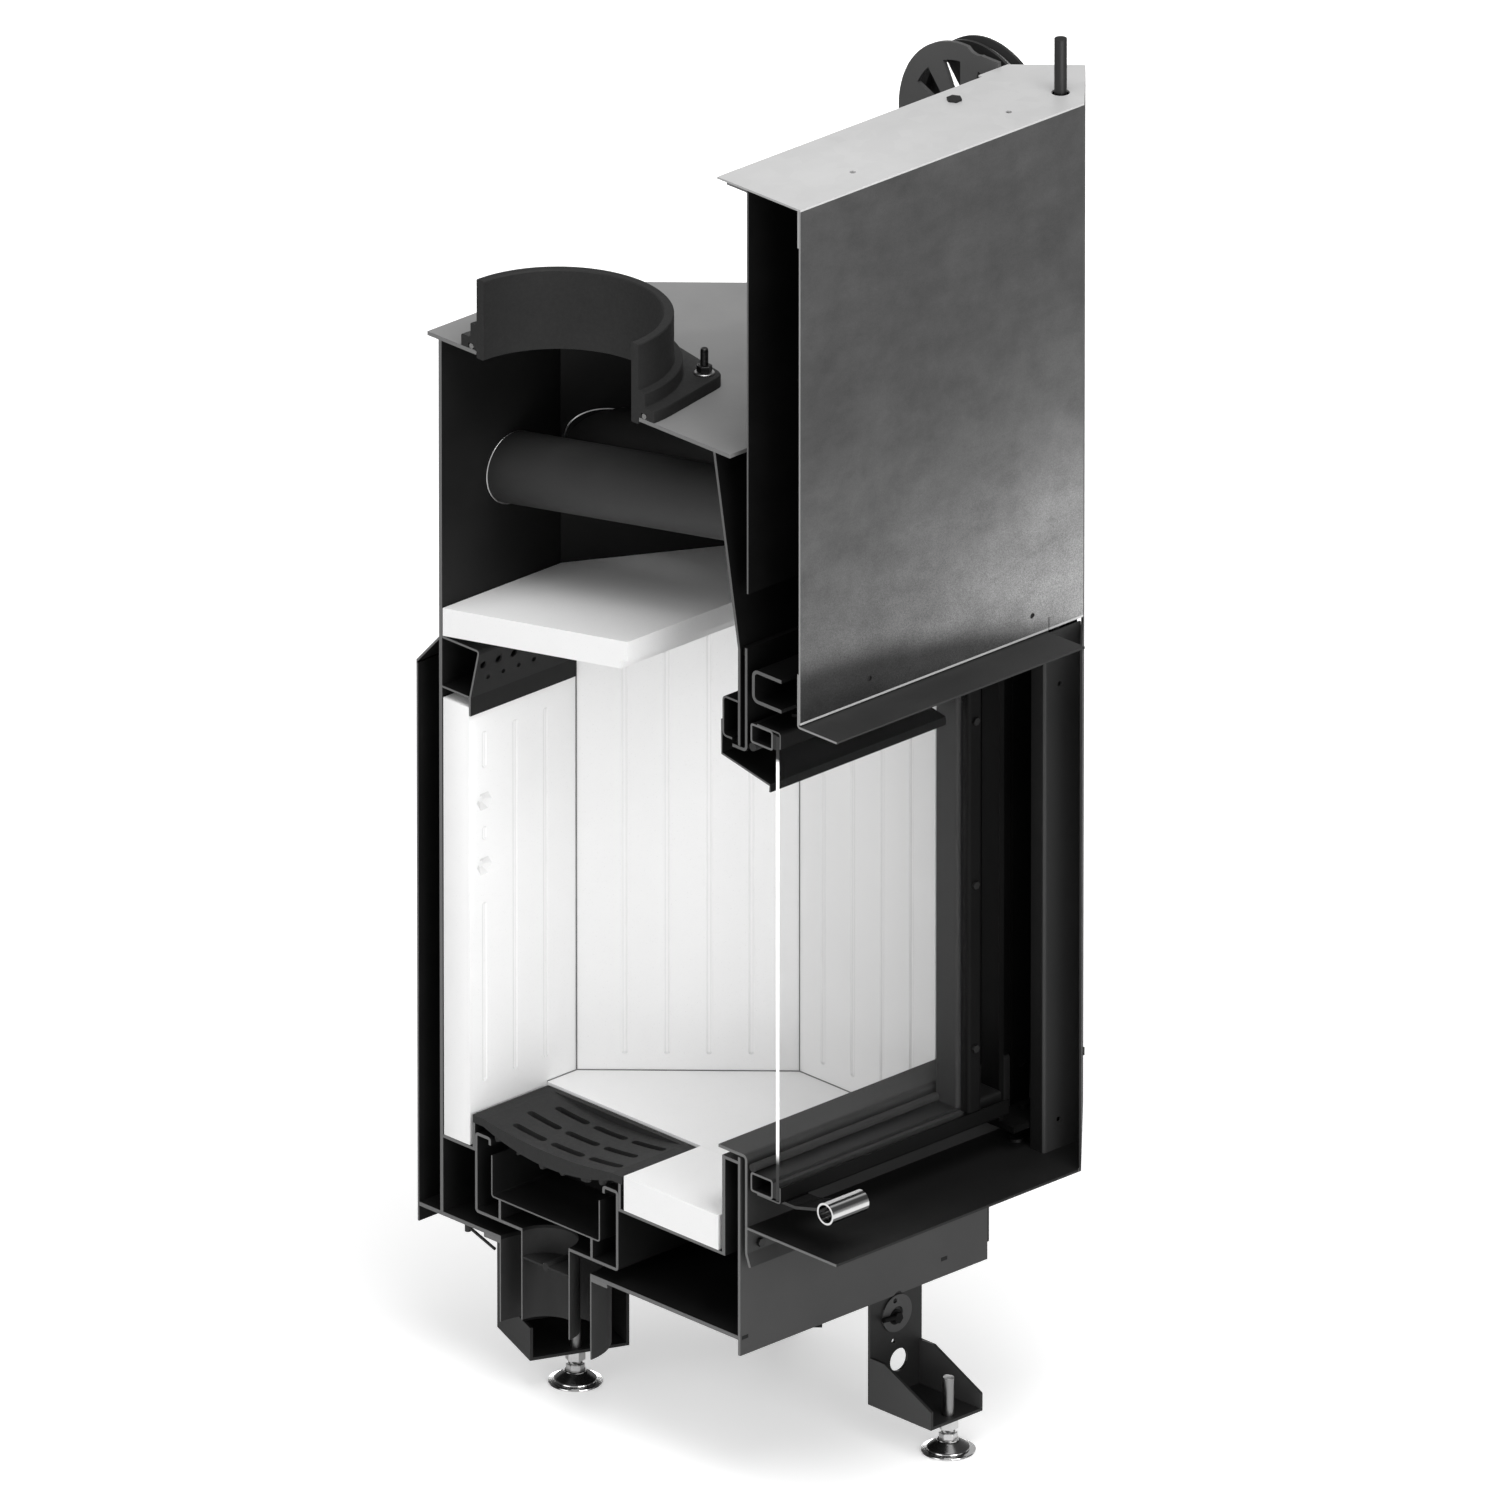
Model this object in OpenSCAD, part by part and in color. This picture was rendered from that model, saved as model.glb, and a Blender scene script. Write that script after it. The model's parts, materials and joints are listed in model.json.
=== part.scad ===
// Fireplace insert with a glass door that lifts into a hood. It is cut open at its
// middle plane, so the firebox, ash box, air inlet, flue and door guides are in view.
// X runs right from the cut, Y runs back from the back of the front plate, Z runs up
// from the ground. place() moves all of it to the part's own frame.

/* [Casing] */
// Cut plane to the outside of the side wall
body_w = 330; // [320:1:335]
// Back of the front plate to the outside of the rear wall
body_d = 405.6; // [400:0.1:430]
// Width of the sloping rear corner, measured along the rear wall
corner_cut = 173; // [165:1:180]
// Thickness of the firebox walls, the floor and the top plate
wall_t = 4; // [3:0.5:5]
// Thickness of the bent sheets round the door opening
sheet_t = 3; // [2:0.5:3]
// Thickness of the hood and jacket sheets
skin_t = 2; // [1.5:0.25:2]
// Underside of the floor plate above the ground
floor_z = 155.5; // [150:0.5:170]
// Hearth surface above the underside of the floor plate
hearth_rise = 119.5; // [115:0.5:130]
// Underside of the door frame above the hearth surface
door_rise = 39.5; // [36:0.5:46]
// Top plate above the top of the door frame
smoke_h = 265; // [250:1:290]
// Air gap between the firebox and the rear jacket
jacket_gap = 29; // [24:1:34]
// Height of the rear jacket's straight part
jacket_h = 579; // [540:1:590]

/* [Door] */
// Height of the door frame
door_h = 480.5; // [460:0.5:520]
// Travel of the door
travel = 390; // [350:1:390]
// Depth of the door frame's tubes
rail_d = 30; // [28:0.5:32]
// Height of the door frame's rails
rail_h = 20; // [18:0.5:21]
// Wall of the door frame's tubes
rail_wall = 2; // [1.5:0.25:3]
// Thickness of the glass
glass_t = 4; // [3:0.5:5]
// Side of the glass in from the side of the door frame
glass_in = 55; // [50:1:65]
// Radius of the rope seals
seal_r = 4.2; // [3.5:0.1:4.5]
// Radius of the handle tube
handle_r = 11; // [9:0.5:13]
// Length of the handle tube from the cut
handle_len = 47; // [42:1:70]

/* [Hood] */
// Room over the raised lift beam, under the hood's top
headroom = 94.5; // [94:0.5:130]
// Hood's front corner past the side wall
hood_out = 40.6; // [38:0.1:44]
// Width of the hood's sloping corner, measured along X
corner_w = 65; // [63:0.5:66]
// Depth of the shelf under the door, in front of the sill
shelf_d = 120.5; // [115:0.5:126]

/* [Flue and air] */
// Inner radius of the flue collar
flue_r = 100; // [90:1:102]
// Height of the flue collar above the top plate
flue_h = 74; // [60:1:90]
// Outer radius of the exchanger tubes
tube_r = 35; // [30:1:38]
// Outer radius of the outside air spigot
spigot_r = 62.5; // [58:0.5:63]
// Outer radius of the combustion air pipe
pipe_r = 33; // [28:0.5:38]

/* [Lining and grate] */
// Thickness of the firebox lining
lining_t = 35.5; // [30:0.5:38]
// Width of the grate from the cut
grate_w = 99; // [94:1:110]
// Depth of the grate
grate_d = 203.2; // [195:0.1:210]
// Thickness of the baffle
baffle_t = 28; // [22:1:32]
// Spacing of the lining's upright grooves
groove_pitch = 40; // [34:1:60]

/* [Lift] */
// Radius of the guide rod
rod_r = 6; // [5:0.5:7]
// Groove radius of the pulley
groove_r = 75.5; // [70:0.5:76]
// Radius of the lift cable
cable_r = 1.5; // [1:0.25:2]
// Height of the counterweight
weight_h = 220; // [160:1:240]

/* [Feet] */
// Underside of the foot brackets above the ground
bracket_z = 34; // [33:0.5:40]
// Radius of the foot pads
pad_r = 26; // [22:0.5:30]
// Radius of the foot studs
stud_r = 6; // [5:0.5:6]

/* [Hidden] */
$fn = 64;

// Colours of the finished insert
black_sheet = [0.10, 0.10, 0.10];
grey_sheet = [0.30, 0.30, 0.30];
iron = [0.16, 0.16, 0.16];
zinc = [0.62, 0.62, 0.62];
bright = [0.82, 0.82, 0.82];
lining_white = [0.94, 0.94, 0.93];
rope_grey = [0.35, 0.35, 0.34];
glass_clear = [0.80, 0.86, 0.88, 0.35];

// Small values that several pieces share
over = 1;                 // overrun of a cut past a face
weld_gap = 0.2;           // gap left between welded edges
run_gap = 0.05;           // running clearance of a shaft in a bore
hole_gap = 0.3;           // clearance of a stud in its hole
bend_r = 4;               // middle radius of a bent sheet's corner
skin_bend = 2.5;          // middle radius of a bent skin's corner
bend_steps = 4;           // flats that make one bend
root2 = sqrt(2);
half_corner = tan(22.5);  // run of a mitre in a 45 degree corner, per depth

// Levels above the ground
floor_top = floor_z + wall_t;
hearth_z = floor_z + hearth_rise;
door_z = hearth_z + door_rise;
door_top = door_z + door_h;
top_z = door_top + smoke_h;
top_under = top_z - wall_t;
shelf_t = 2.5;
shelf_rise = 0.5;         // shelf above the hearth
shelf_z = hearth_z + shelf_rise;
beam_gap = 22.1;          // lift beam above the door frame
beam_h = 33.9;
beam_z = door_top + beam_gap;
hood_z = beam_z + beam_h + travel + headroom + skin_t;
hood_under = hood_z - skin_t;
lip_rise = 14;            // hood lip above the door frame
lip_z = door_top + lip_rise;
sill_rise = 14.5;         // sill above the bottom rail
sill_z = door_z + rail_h + sill_rise;
lintel_drop = 12;         // lintel hook below the top rail
lintel_z = door_top - rail_h - lintel_drop;
ledge_drop = 10;          // grate ledge below the hearth
ledge_z = hearth_z - ledge_drop;
tray_z = hearth_z - lining_t;

// Planes from the front plate forwards
apron_t = 3;
spacer_l = 6.5;
frame_y = -apron_t - spacer_l - sheet_t / 2;
face_y = frame_y - sheet_t / 2;
door_play = 4.5;          // door frame in front of the sheets behind it
rail_y = face_y - door_play;
rail_front = rail_y - rail_d;
tape_t = 4.6;             // rope tape between the frame and the glass
glass_back = rail_front - tape_t;
glass_front = glass_back - glass_t;
strip_t = 1.5;
strip_gap = 0.5;
strip_front = glass_front - strip_gap - strip_t;
panel_gap = 24.4;         // hood panel in front of the glass strips
hood_y = strip_front - panel_gap - skin_t;
shelf_y = face_y - shelf_d;

// The hood's plan: A and B end its sloping front, C is its rear corner
hood_w = body_w + hood_out;
slope_off = hood_w - hood_y;
hood_x = hood_w + corner_w;
hood_bx = hood_y + corner_w;
corner_sum = hood_x + hood_bx;
hood_back = 33;           // outer face of the corner plate behind the front plate
point_a = [hood_w, hood_y];
point_b = [hood_x, hood_bx];
point_c = [corner_sum - hood_back, hood_back];
leg_gap = 16;             // side wall to the corner plate
leg_x = body_w + leg_gap;
base_drop = 16;           // jacket and apron below the floor plate
base_z = floor_z - base_drop;

// The door across the opening
door_in = 30;             // door's side in from the side wall
door_w = body_w - door_in;
glass_w = door_w - glass_in;
stile_w = 30;
stile_in = 28.5;          // stile in from the door's side
stile_x = door_w - stile_in - stile_w;

// The firebox plan
back_w = body_w - corner_cut;
side_d = body_d - corner_cut;
body_sum = back_w + body_d;
slope_len = corner_cut * root2;
inner_w = body_w - wall_t;
inner_d = body_d - wall_t;
lining_gap = 1;
lining_in = lining_gap + lining_t;

// Functions for bent sheets: a middle line with rounded corners becomes an outline
function unit(v) = v / norm(v);
function left_of(v) = [-v[1], v[0]];
function turned(v, a) = [v[0] * cos(a) - v[1] * sin(a), v[0] * sin(a) + v[1] * cos(a)];
function turn_angle(a, b) = atan2(a[0] * b[1] - a[1] * b[0], a[0] * b[0] + a[1] * b[1]);
function bend_points(p, i, d, r) =
    let (a = unit(p[i] - p[i - 1]),
         w = turn_angle(a, unit(p[i + 1] - p[i])),
         s = sign(w),
         middle = p[i] - a * r * tan(abs(w) / 2) + left_of(a) * s * r)
    [for (k = [0 : bend_steps])
        middle - turned(left_of(a), w * k / bend_steps) * s * (r - s * d)];
function strip_side(p, d, r) =
    let (n = len(p))
    concat([p[0] + left_of(unit(p[1] - p[0])) * d],
           [for (i = [1 : 1 : n - 2]) each bend_points(p, i, d, r)],
           [p[n - 1] + left_of(unit(p[n - 1] - p[n - 2])) * d]);
function strip_outline(p, t, r) =
    let (back = strip_side(p, -t / 2, r))
    concat(strip_side(p, t / 2, r), [for (i = [len(back) - 1 : -1 : 0]) back[i]]);
function corner_arc(x, y, r, a0) =
    [for (k = [0 : bend_steps])
        [x + r * cos(a0 + 90 * k / bend_steps), y + r * sin(a0 + 90 * k / bend_steps)]];
function round_box(x0, y0, x1, y1, r) =
    concat(corner_arc(x1 - r, y1 - r, r, 0), corner_arc(x0 + r, y1 - r, r, 90),
           corner_arc(x0 + r, y0 + r, r, 180), corner_arc(x1 - r, y0 + r, r, 270));

function slot_points(x, y0, y1, r) =
    concat(corner_arc(x, y1, r, 0), corner_arc(x, y1, r, 90),
           corner_arc(x, y0, r, 180), corner_arc(x, y0, r, 270));

// A sheet bent in plan, standing from z0
module plan_sheet(p, t, r, z0, h) {
    plan(strip_outline(p, t, r), z0, h);
}
// A shape drawn in plan, from z0 up
module plan(points, z0, h) {
    translate([0, 0, z0]) linear_extrude(h) polygon(points);
}
// A shape drawn as depth and height, running along X from x0
module section(points, x0, w) {
    translate([x0, 0, 0]) rotate([90, 0, 90]) linear_extrude(w) polygon(points);
}
// A sheet bent in the section, running along X from x0
module section_sheet(p, t, r, x0, w) {
    section(strip_outline(p, t, r), x0, w);
}
// A box from its low corner and its size
module block(x0, y0, z0, w, d, h) {
    translate([x0, y0, z0]) cube([w, d, h]);
}
module bar_x(x0, y, z, r, w) {
    translate([x0, y, z]) rotate([0, 90, 0]) cylinder(r = r, h = w);
}
module bar_y(x, y0, z, r, d) {
    translate([x, y0, z]) rotate([-90, 0, 0]) cylinder(r = r, h = d);
}
module bar_z(x, y, z0, r, h) {
    translate([x, y, z0]) cylinder(r = r, h = h);
}
module hex_z(x, y, z0, across, h) {
    translate([x, y, z0]) cylinder(r = across / sqrt(3), h = h, $fn = 6);
}
module hex_y(x, y0, z, across, d) {
    translate([x, y0, z]) rotate([-90, 0, 0]) cylinder(r = across / sqrt(3), h = d, $fn = 6);
}
// The frame of the sloping corner wall: X along it, Y outwards
module slope_frame() {
    translate([back_w, body_d, 0]) rotate([0, 0, -45]) children();
}

// Rear jacket: a convection skin that wraps the rear and the sloping corner
roof_rise = 33;
roof_t = 3;
jacket_mid = jacket_gap + skin_t / 2;
jacket_y = body_d + jacket_mid;
jacket_sum = body_sum + jacket_mid * root2;
jacket_x = body_w - skin_t / 2;
roof_z = base_z + jacket_h;
roof_reach = jacket_gap + skin_t;
module jacket_roof(len0, len1) {
    section([[weld_gap, roof_z + roof_rise], [roof_reach, roof_z],
             [roof_reach, roof_z - roof_t], [weld_gap, roof_z + roof_rise - roof_t]],
            len0, len1 - len0);
}
module rear_jacket() {
    wide = roof_reach * 2;
    run = half_corner * wide;
    color(black_sheet) {
        plan_sheet([[0, jacket_y], [jacket_sum - jacket_y, jacket_y],
                    [jacket_x, jacket_sum - jacket_x], [jacket_x, side_d + skin_t]],
                   skin_t, skin_bend, base_z, jacket_h - roof_t);
        intersection() {
            translate([0, body_d, 0]) jacket_roof(0, body_w);
            plan([[0, body_d], [back_w, body_d], [back_w + run, body_d + wide],
                  [0, body_d + wide]], roof_z - roof_rise, 3 * roof_rise);
        }
        slope_frame() intersection() {
            jacket_roof(-roof_reach, slope_len);
            plan([[weld_gap, 0], [weld_gap - run, wide], [slope_len - wide, wide],
                  [slope_len, 0]], roof_z - roof_rise, 3 * roof_rise);
        }
    }
}

// Exchanger tubes: room air runs through them and leaves at the front
tube_wall = 2.5;
tube_slope = 0.179;
tube_tilt = atan(tube_slope);
tube_hole_gap = 0.15;
tube_in = 63;             // one tube leaves through the rear wall
tube_out = 36;            // the other leaves through the sloping wall
tube_x = [back_w - tube_in, back_w + tube_out];
tube_drop = [161.3, 155]; // their rear ends below the top plate
tube_z = top_z * [1, 1] - tube_drop;
tube_y = [body_d - wall_t / 2, body_sum - tube_x[1] - wall_t / 2];
front_kink_drop = 191;    // bend of the inner front wall below the top plate
front_lean = 33.5;        // how far its top leans back
front_kink_z = top_under - front_kink_drop;
front_top = [-sheet_t / 2 + front_lean, top_under];
front_kink = [-sheet_t / 2, front_kink_z];
module tube_bar(i, r) {
    reach = 1.4 * body_d;
    translate([tube_x[i], tube_y[i], tube_z[i]]) rotate([90 - tube_tilt, 0, 0])
        translate([0, 0, -reach / 4]) cylinder(r = r, h = reach);
}
module exchanger_tubes() {
    lean = left_of(unit(front_kink - front_top)) * -sheet_t / 2;
    color(black_sheet) intersection() {
        for (i = [0, 1]) difference() {
            tube_bar(i, tube_r);
            tube_bar(i, tube_r - tube_wall);
        }
        section([front_top + lean, front_kink + lean, [body_d, front_kink_z],
                 [body_d, top_under]], 0, body_w);
        plan([[0, face_y], [0, body_d], [back_w, body_d], [body_w, side_d], [body_w, face_y]],
             front_kink_z, front_kink_drop);
    }
}

// Firebox walls
wall_h = top_under - floor_top;
mitre = wall_t * half_corner;
module rear_wall() {
    color(black_sheet) difference() {
        plan([[0, inner_d], [back_w - mitre - weld_gap, inner_d], [back_w - weld_gap, body_d],
              [0, body_d]], floor_top, wall_h);
        tube_bar(0, tube_r + tube_hole_gap);
    }
}
module angled_wall() {
    color(black_sheet) difference() {
        slope_frame() plan([[weld_gap, 0], [slope_len - weld_gap, 0],
            [slope_len - mitre - weld_gap, -wall_t], [mitre + weld_gap, -wall_t]],
            floor_top, wall_h);
        tube_bar(1, tube_r + tube_hole_gap);
    }
}
module side_wall() {
    color(black_sheet) plan([[inner_w, 0], [body_w, 0], [body_w, side_d - weld_gap],
        [inner_w, side_d - mitre - weld_gap]], floor_top, wall_h);
}

// Top plate with the flue opening
flue_in = 161.6;          // collar's middle in from the rear wall
flue_y = body_d - flue_in;
flue_wall = 9.7;
flue_out = flue_r + flue_wall;
top_lap = 15;             // top plate past the walls
top_front = 11;           // its front edge behind the front plate
flue_gap = 0.8;           // collar spigot in the plate's opening
module top_plate() {
    lap_sum = body_sum + 2 * top_lap;
    color(grey_sheet) difference() {
        plan([[0, top_front], [body_w + top_lap, top_front],
              [body_w + top_lap, lap_sum - body_w - top_lap],
              [lap_sum - body_d - top_lap, body_d + top_lap], [0, body_d + top_lap]],
             top_under, wall_t);
        bar_z(0, flue_y, top_under - over, flue_out + flue_gap, wall_t + 2 * over);
    }
}

// Floor plate: it closes the jacket's gap below and carries the air inlet and the feet
air_in = 143.6;           // spigot's middle in from the rear wall
air_y = body_d - air_in;
spigot_wall = 1.5;
tab_w = 8;                // tabs that hook the floor into the apron
tab_h = wall_t - 2 * weld_gap;
tab_first = 2.4;
tab_in = 66;
tab_x = [tab_first, body_w - tab_in];
floor_edge = jacket_gap - weld_gap;
module floor_plate() {
    edge_sum = body_sum + floor_edge * root2;
    edge_x = body_w - skin_t - weld_gap;
    color(black_sheet) {
        difference() {
            plan([[0, 0], [body_w, 0], [body_w, side_d], [edge_x, side_d],
                  [edge_x, edge_sum - edge_x],
                  [edge_sum - body_d - floor_edge, body_d + floor_edge],
                  [0, body_d + floor_edge]], floor_z, wall_t);
            bar_z(0, air_y, floor_z - over, spigot_r - spigot_wall, wall_t + 2 * over);
        }
        for (x = tab_x) block(x, -apron_t, floor_z + weld_gap, tab_w, apron_t + over, tab_h);
    }
}

// Front apron below the sill, with a strip that rises beside the opening
opening_in = 35;          // opening's side in from the side wall
opening_x = body_w - opening_in;
apron_drop = 5;           // apron's top below the sill
post_w = 30;              // strip beside the opening
drain_r = 6;
module front_apron() {
    low_top = sill_z - apron_drop;
    end_x = opening_x + post_w;
    top = lintel_z + sheet_t;
    color(grey_sheet) difference() {
        rotate([90, 0, 0]) linear_extrude(apron_t)
            polygon([[0, base_z], [end_x, base_z], [end_x, top], [opening_x, top],
                     [opening_x, low_top], [0, low_top]]);
        for (x = tab_x)
            block(x - weld_gap, -apron_t - over, floor_z, tab_w + 2 * weld_gap,
                  apron_t + 2 * over, tab_h + 2 * weld_gap);
        bar_y(foot_x[0], -apron_t - over, base_z - drain_r / 2, drain_r, apron_t + 2 * over);
    }
}

// Sheets round the door opening, held off the front plate by spacers
sheet_lap = 15;           // sheets past the side wall
sheet_w = body_w + sheet_lap;
flange_y = 26.5;          // sheets' rear edges behind the front plate
spacer_r = 5;
module spacer(x, z) {
    bar_y(x, face_y + sheet_t, z, spacer_r, spacer_l);
}
// Room for the front plate and the side wall beside the opening
module sheet_notch(z0) {
    block(opening_x - weld_gap, -apron_t - weld_gap, z0 - over,
          sheet_w - opening_x + weld_gap + over, flange_y + apron_t + 2 * over,
          sheet_t + 2 * over);
}
module sill_sheet() {
    drop = 101;
    kick = [5, 13];
    spacer_drop = 67;
    spacer_shares = [0.06, 0.46, 0.81];
    color(grey_sheet) {
        difference() {
            section_sheet([[flange_y, sill_z - sheet_t / 2], [frame_y, sill_z - sheet_t / 2],
                           [frame_y, sill_z - drop], [frame_y, sill_z - drop] - kick],
                          sheet_t, bend_r, 0, sheet_w);
            sheet_notch(sill_z - sheet_t);
        }
        for (share = spacer_shares) spacer(share * sheet_w, sill_z - spacer_drop);
    }
}
module side_frame_sheet() {
    low = sill_z + 1.5 * weld_gap;
    inset = 90;
    leg = opening_x - sheet_t;
    color(black_sheet) {
        plan_sheet([[leg, flange_y], [leg, frame_y], [sheet_w, frame_y]],
                   sheet_t, bend_r, low, lintel_z - weld_gap - low);
        for (z = [sill_z + inset, lintel_z - inset]) spacer(opening_x + post_w / 2, z);
    }
}
module inner_front_wall() {
    color(black_sheet) difference() {
        section_sheet([front_top, front_kink, [front_kink[0], lintel_z + 1.2 * sheet_t]],
                      sheet_t, bend_r, 0, inner_w - weld_gap);
        for (i = [0, 1]) tube_bar(i, tube_r + tube_hole_gap);
        block(-over, 0, top_under, body_w, body_d, wall_t);
    }
}
module lintel_sheet() {
    hook_y = 7.5;
    bar_h = 8;
    inset = 4;
    color(grey_sheet) {
        difference() {
            section_sheet([[hook_y, lintel_z + sheet_t / 2], [frame_y, lintel_z + sheet_t / 2],
                           [frame_y, front_kink_z + bar_h / 2]], sheet_t, bend_r, 0, sheet_w);
            sheet_notch(lintel_z);
        }
        block(inset, face_y + sheet_t, front_kink_z - 0.75 * bar_h, inner_w - 2 * inset,
              spacer_l, bar_h);
    }
}
box_rise = 7;
box_z = lintel_z + box_rise;
box_d = 21;
box_h = 41;
box_slit = 8;             // open slit along the box's bottom
module lintel_box() {
    t = skin_t;
    color(grey_sheet) section_sheet([[0, box_z + box_h], [box_d - t / 2, box_z + box_h],
        [box_d - t / 2, box_z + t / 2], [box_slit, box_z + t / 2]], t, bend_r, 0,
        opening_x - box_slit);
}
module air_wash_deflector() {
    t = skin_t;
    y = box_d + t / 2;
    lap = 16.4;
    upper_h = 18.5;
    slope_h = 12.5;
    end_h = 7.2;
    glass_gap = 8.7;
    stile_gap = 23.5;
    end_y = glass_back + glass_gap;
    end_z = box_z - upper_h - slope_h;
    color(black_sheet) section_sheet([[y, box_z + lap], [y, box_z - upper_h],
        [end_y, end_z], [end_y, end_z - end_h]], t, skin_bend, 0, stile_x - stile_gap);
}

// Flue collar: a cast ring with three bolt ears, one of them cut through
collar_r = 130.6;
collar_t = 12.6;
ear_r = 14;
ear_at = 139;
ear_t = collar_t - 1;
ear_stud_r = 4;
ear_turns = [-30, 90];
module half_space() {
    translate([0, -body_d, 0]) cube([2 * body_w, 4 * body_d, 1.1 * hood_z]);
}
module flue_collar() {
    step_r = 118;
    step_h = 26.7;
    drop = 6.5;
    small = 2;
    edge = 3;
    swing = acos((collar_r - ear_r) / ear_at);
    color(iron) intersection() {
        translate([0, flue_y, 0]) {
            rotate_extrude() polygon([[flue_r, top_z - drop], [flue_out, top_z - drop],
                [flue_out, top_z], [collar_r, top_z], [collar_r, top_z + collar_t - edge],
                [collar_r - edge, top_z + collar_t], [step_r + small, top_z + collar_t],
                [step_r, top_z + collar_t + small], [step_r, top_z + step_h],
                [flue_out + small, top_z + step_h], [flue_out, top_z + step_h + 2 * small],
                [flue_out, top_z + flue_h], [flue_r, top_z + flue_h]]);
            for (a = ear_turns) rotate([0, 0, a]) difference() {
                union() {
                    bar_z(ear_at, 0, top_z, ear_r, ear_t);
                    plan([[collar_r * cos(swing), collar_r * sin(swing)],
                          [collar_r * cos(swing), -collar_r * sin(swing)],
                          [ear_at + ear_r * cos(swing), -ear_r * sin(swing)],
                          [ear_at + ear_r * cos(swing), ear_r * sin(swing)]],
                         top_z, ear_t);
                }
                bar_z(ear_at, 0, top_z - over, ear_stud_r + hole_gap, collar_t + 2 * over);
                bar_z(0, 0, top_z - over, flue_out + over, collar_t + 2 * over);
            }
        }
        half_space();
    }
}
module collar_fasteners() {
    seat = top_z + ear_t;
    washer_r = 9.7;
    washer_t = 2;
    nut_af = 13;
    nut_h = 6.5;
    stud_l = 36.6;
    color(iron) intersection() {
        translate([0, flue_y, 0]) for (a = ear_turns) rotate([0, 0, a]) {
            bar_z(ear_at, 0, top_z, ear_stud_r, stud_l);
            difference() {
                union() {
                    bar_z(ear_at, 0, seat, washer_r, washer_t);
                    hex_z(ear_at, 0, seat + washer_t, nut_af, nut_h);
                }
                bar_z(ear_at, 0, seat - over, ear_stud_r + run_gap,
                      washer_t + nut_h + 2 * over);
            }
        }
        half_space();
    }
}

// Secondary air duct along the rear wall, with paired holes in its sloping face
duct_in = 19;             // duct's end short of the sloping wall
duct_w = back_w - duct_in;
duct_rise = 514;          // duct's top above the tray
duct_h = 52;
duct_d = 50;
duct_z = tray_z + duct_rise;
duct_lip = lining_in + skin_t / 2 + hole_gap;   // its lip hangs just in front of the lining
lip_h = 19;
module secondary_air_duct() {
    t = skin_t;
    low_z = duct_z - duct_h;
    lip_y = inner_d - duct_lip;
    face = [[inner_d - weld_gap, duct_z - t / 2], [inner_d - duct_d, duct_z - t / 2],
            [lip_y, low_z], [lip_y, low_z - lip_h]];
    lean = atan2(duct_d - duct_lip, duct_h - t / 2);
    hole_pitch = 20;
    big_r = 4;
    small_r = 2.5;
    row = 8.5;
    first = 9;
    reach = 5;
    color(black_sheet) {
        difference() {
            section_sheet(face, t, skin_bend, 0, duct_w);
            for (x = [first : hole_pitch : duct_w - first])
                translate([x, inner_d - (duct_d + duct_lip) / 2, duct_z - duct_h / 2])
                    rotate([90 + lean, 0, 0]) {
                        translate([0, row, -reach]) cylinder(r = big_r, h = 2 * reach);
                        if (x + hole_pitch / 2 + small_r < duct_w)
                            translate([hole_pitch / 2, -row, -reach])
                                cylinder(r = small_r, h = 2 * reach);
                    }
        }
        block(0, lip_y + t / 2 + weld_gap, low_z - t / 2, duct_w,
              duct_lip - t / 2 - 2 * weld_gap, t);
    }
}

// Baffle: a tilted lining slab that rests on the duct and on the side linings
baffle_slope = 0.172;
baffle_run = 252.6;       // baffle's depth from the rear wall
baffle_front = inner_d - baffle_run;
baffle_low = duct_z + weld_gap;
function baffle_under(y) = baffle_low + (inner_d - y) * baffle_slope;
module baffle_plate() {
    gap = lining_gap;
    lift = baffle_t / cos(atan(baffle_slope));
    step = 9;
    back = inner_d - gap;
    color(lining_white) intersection() {
        section([[back, baffle_under(back)], [back, baffle_under(back) + lift],
                 [baffle_front, baffle_under(baffle_front) + lift],
                 [baffle_front, baffle_under(baffle_front) + step],
                 [baffle_front + step, baffle_under(baffle_front + step) + step],
                 [baffle_front + step, baffle_under(baffle_front + step)]], 0, inner_w - gap);
        plan([[0, 0], [inner_w - gap, 0], [inner_w - gap, side_d - mitre - gap * half_corner],
              [back_w - mitre - gap * half_corner, inner_d - gap], [0, inner_d - gap]],
             duct_z, body_d);
    }
}

// Lining boards with upright grooves
flute_r = 4;
flute_depth = 1.5;
flute_low = 20;           // grooves start above the hearth
flute_high = 25;          // grooves end below the board's top
line_y = inner_d - lining_in;
line_back = inner_d - lining_gap;
line_sum = body_sum - root2 * (wall_t + lining_in);
line_x = inner_w - lining_in;
back_drop = 62.5;         // rear board's top below the duct's
back_top = duct_z - back_drop;
module flute(x, y, z0, z1) {
    bar_z(x, y, z0, flute_r, z1 - z0);
    for (z = [z0, z1]) translate([x, y, z]) sphere(r = flute_r, $fn = 32);
}
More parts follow.
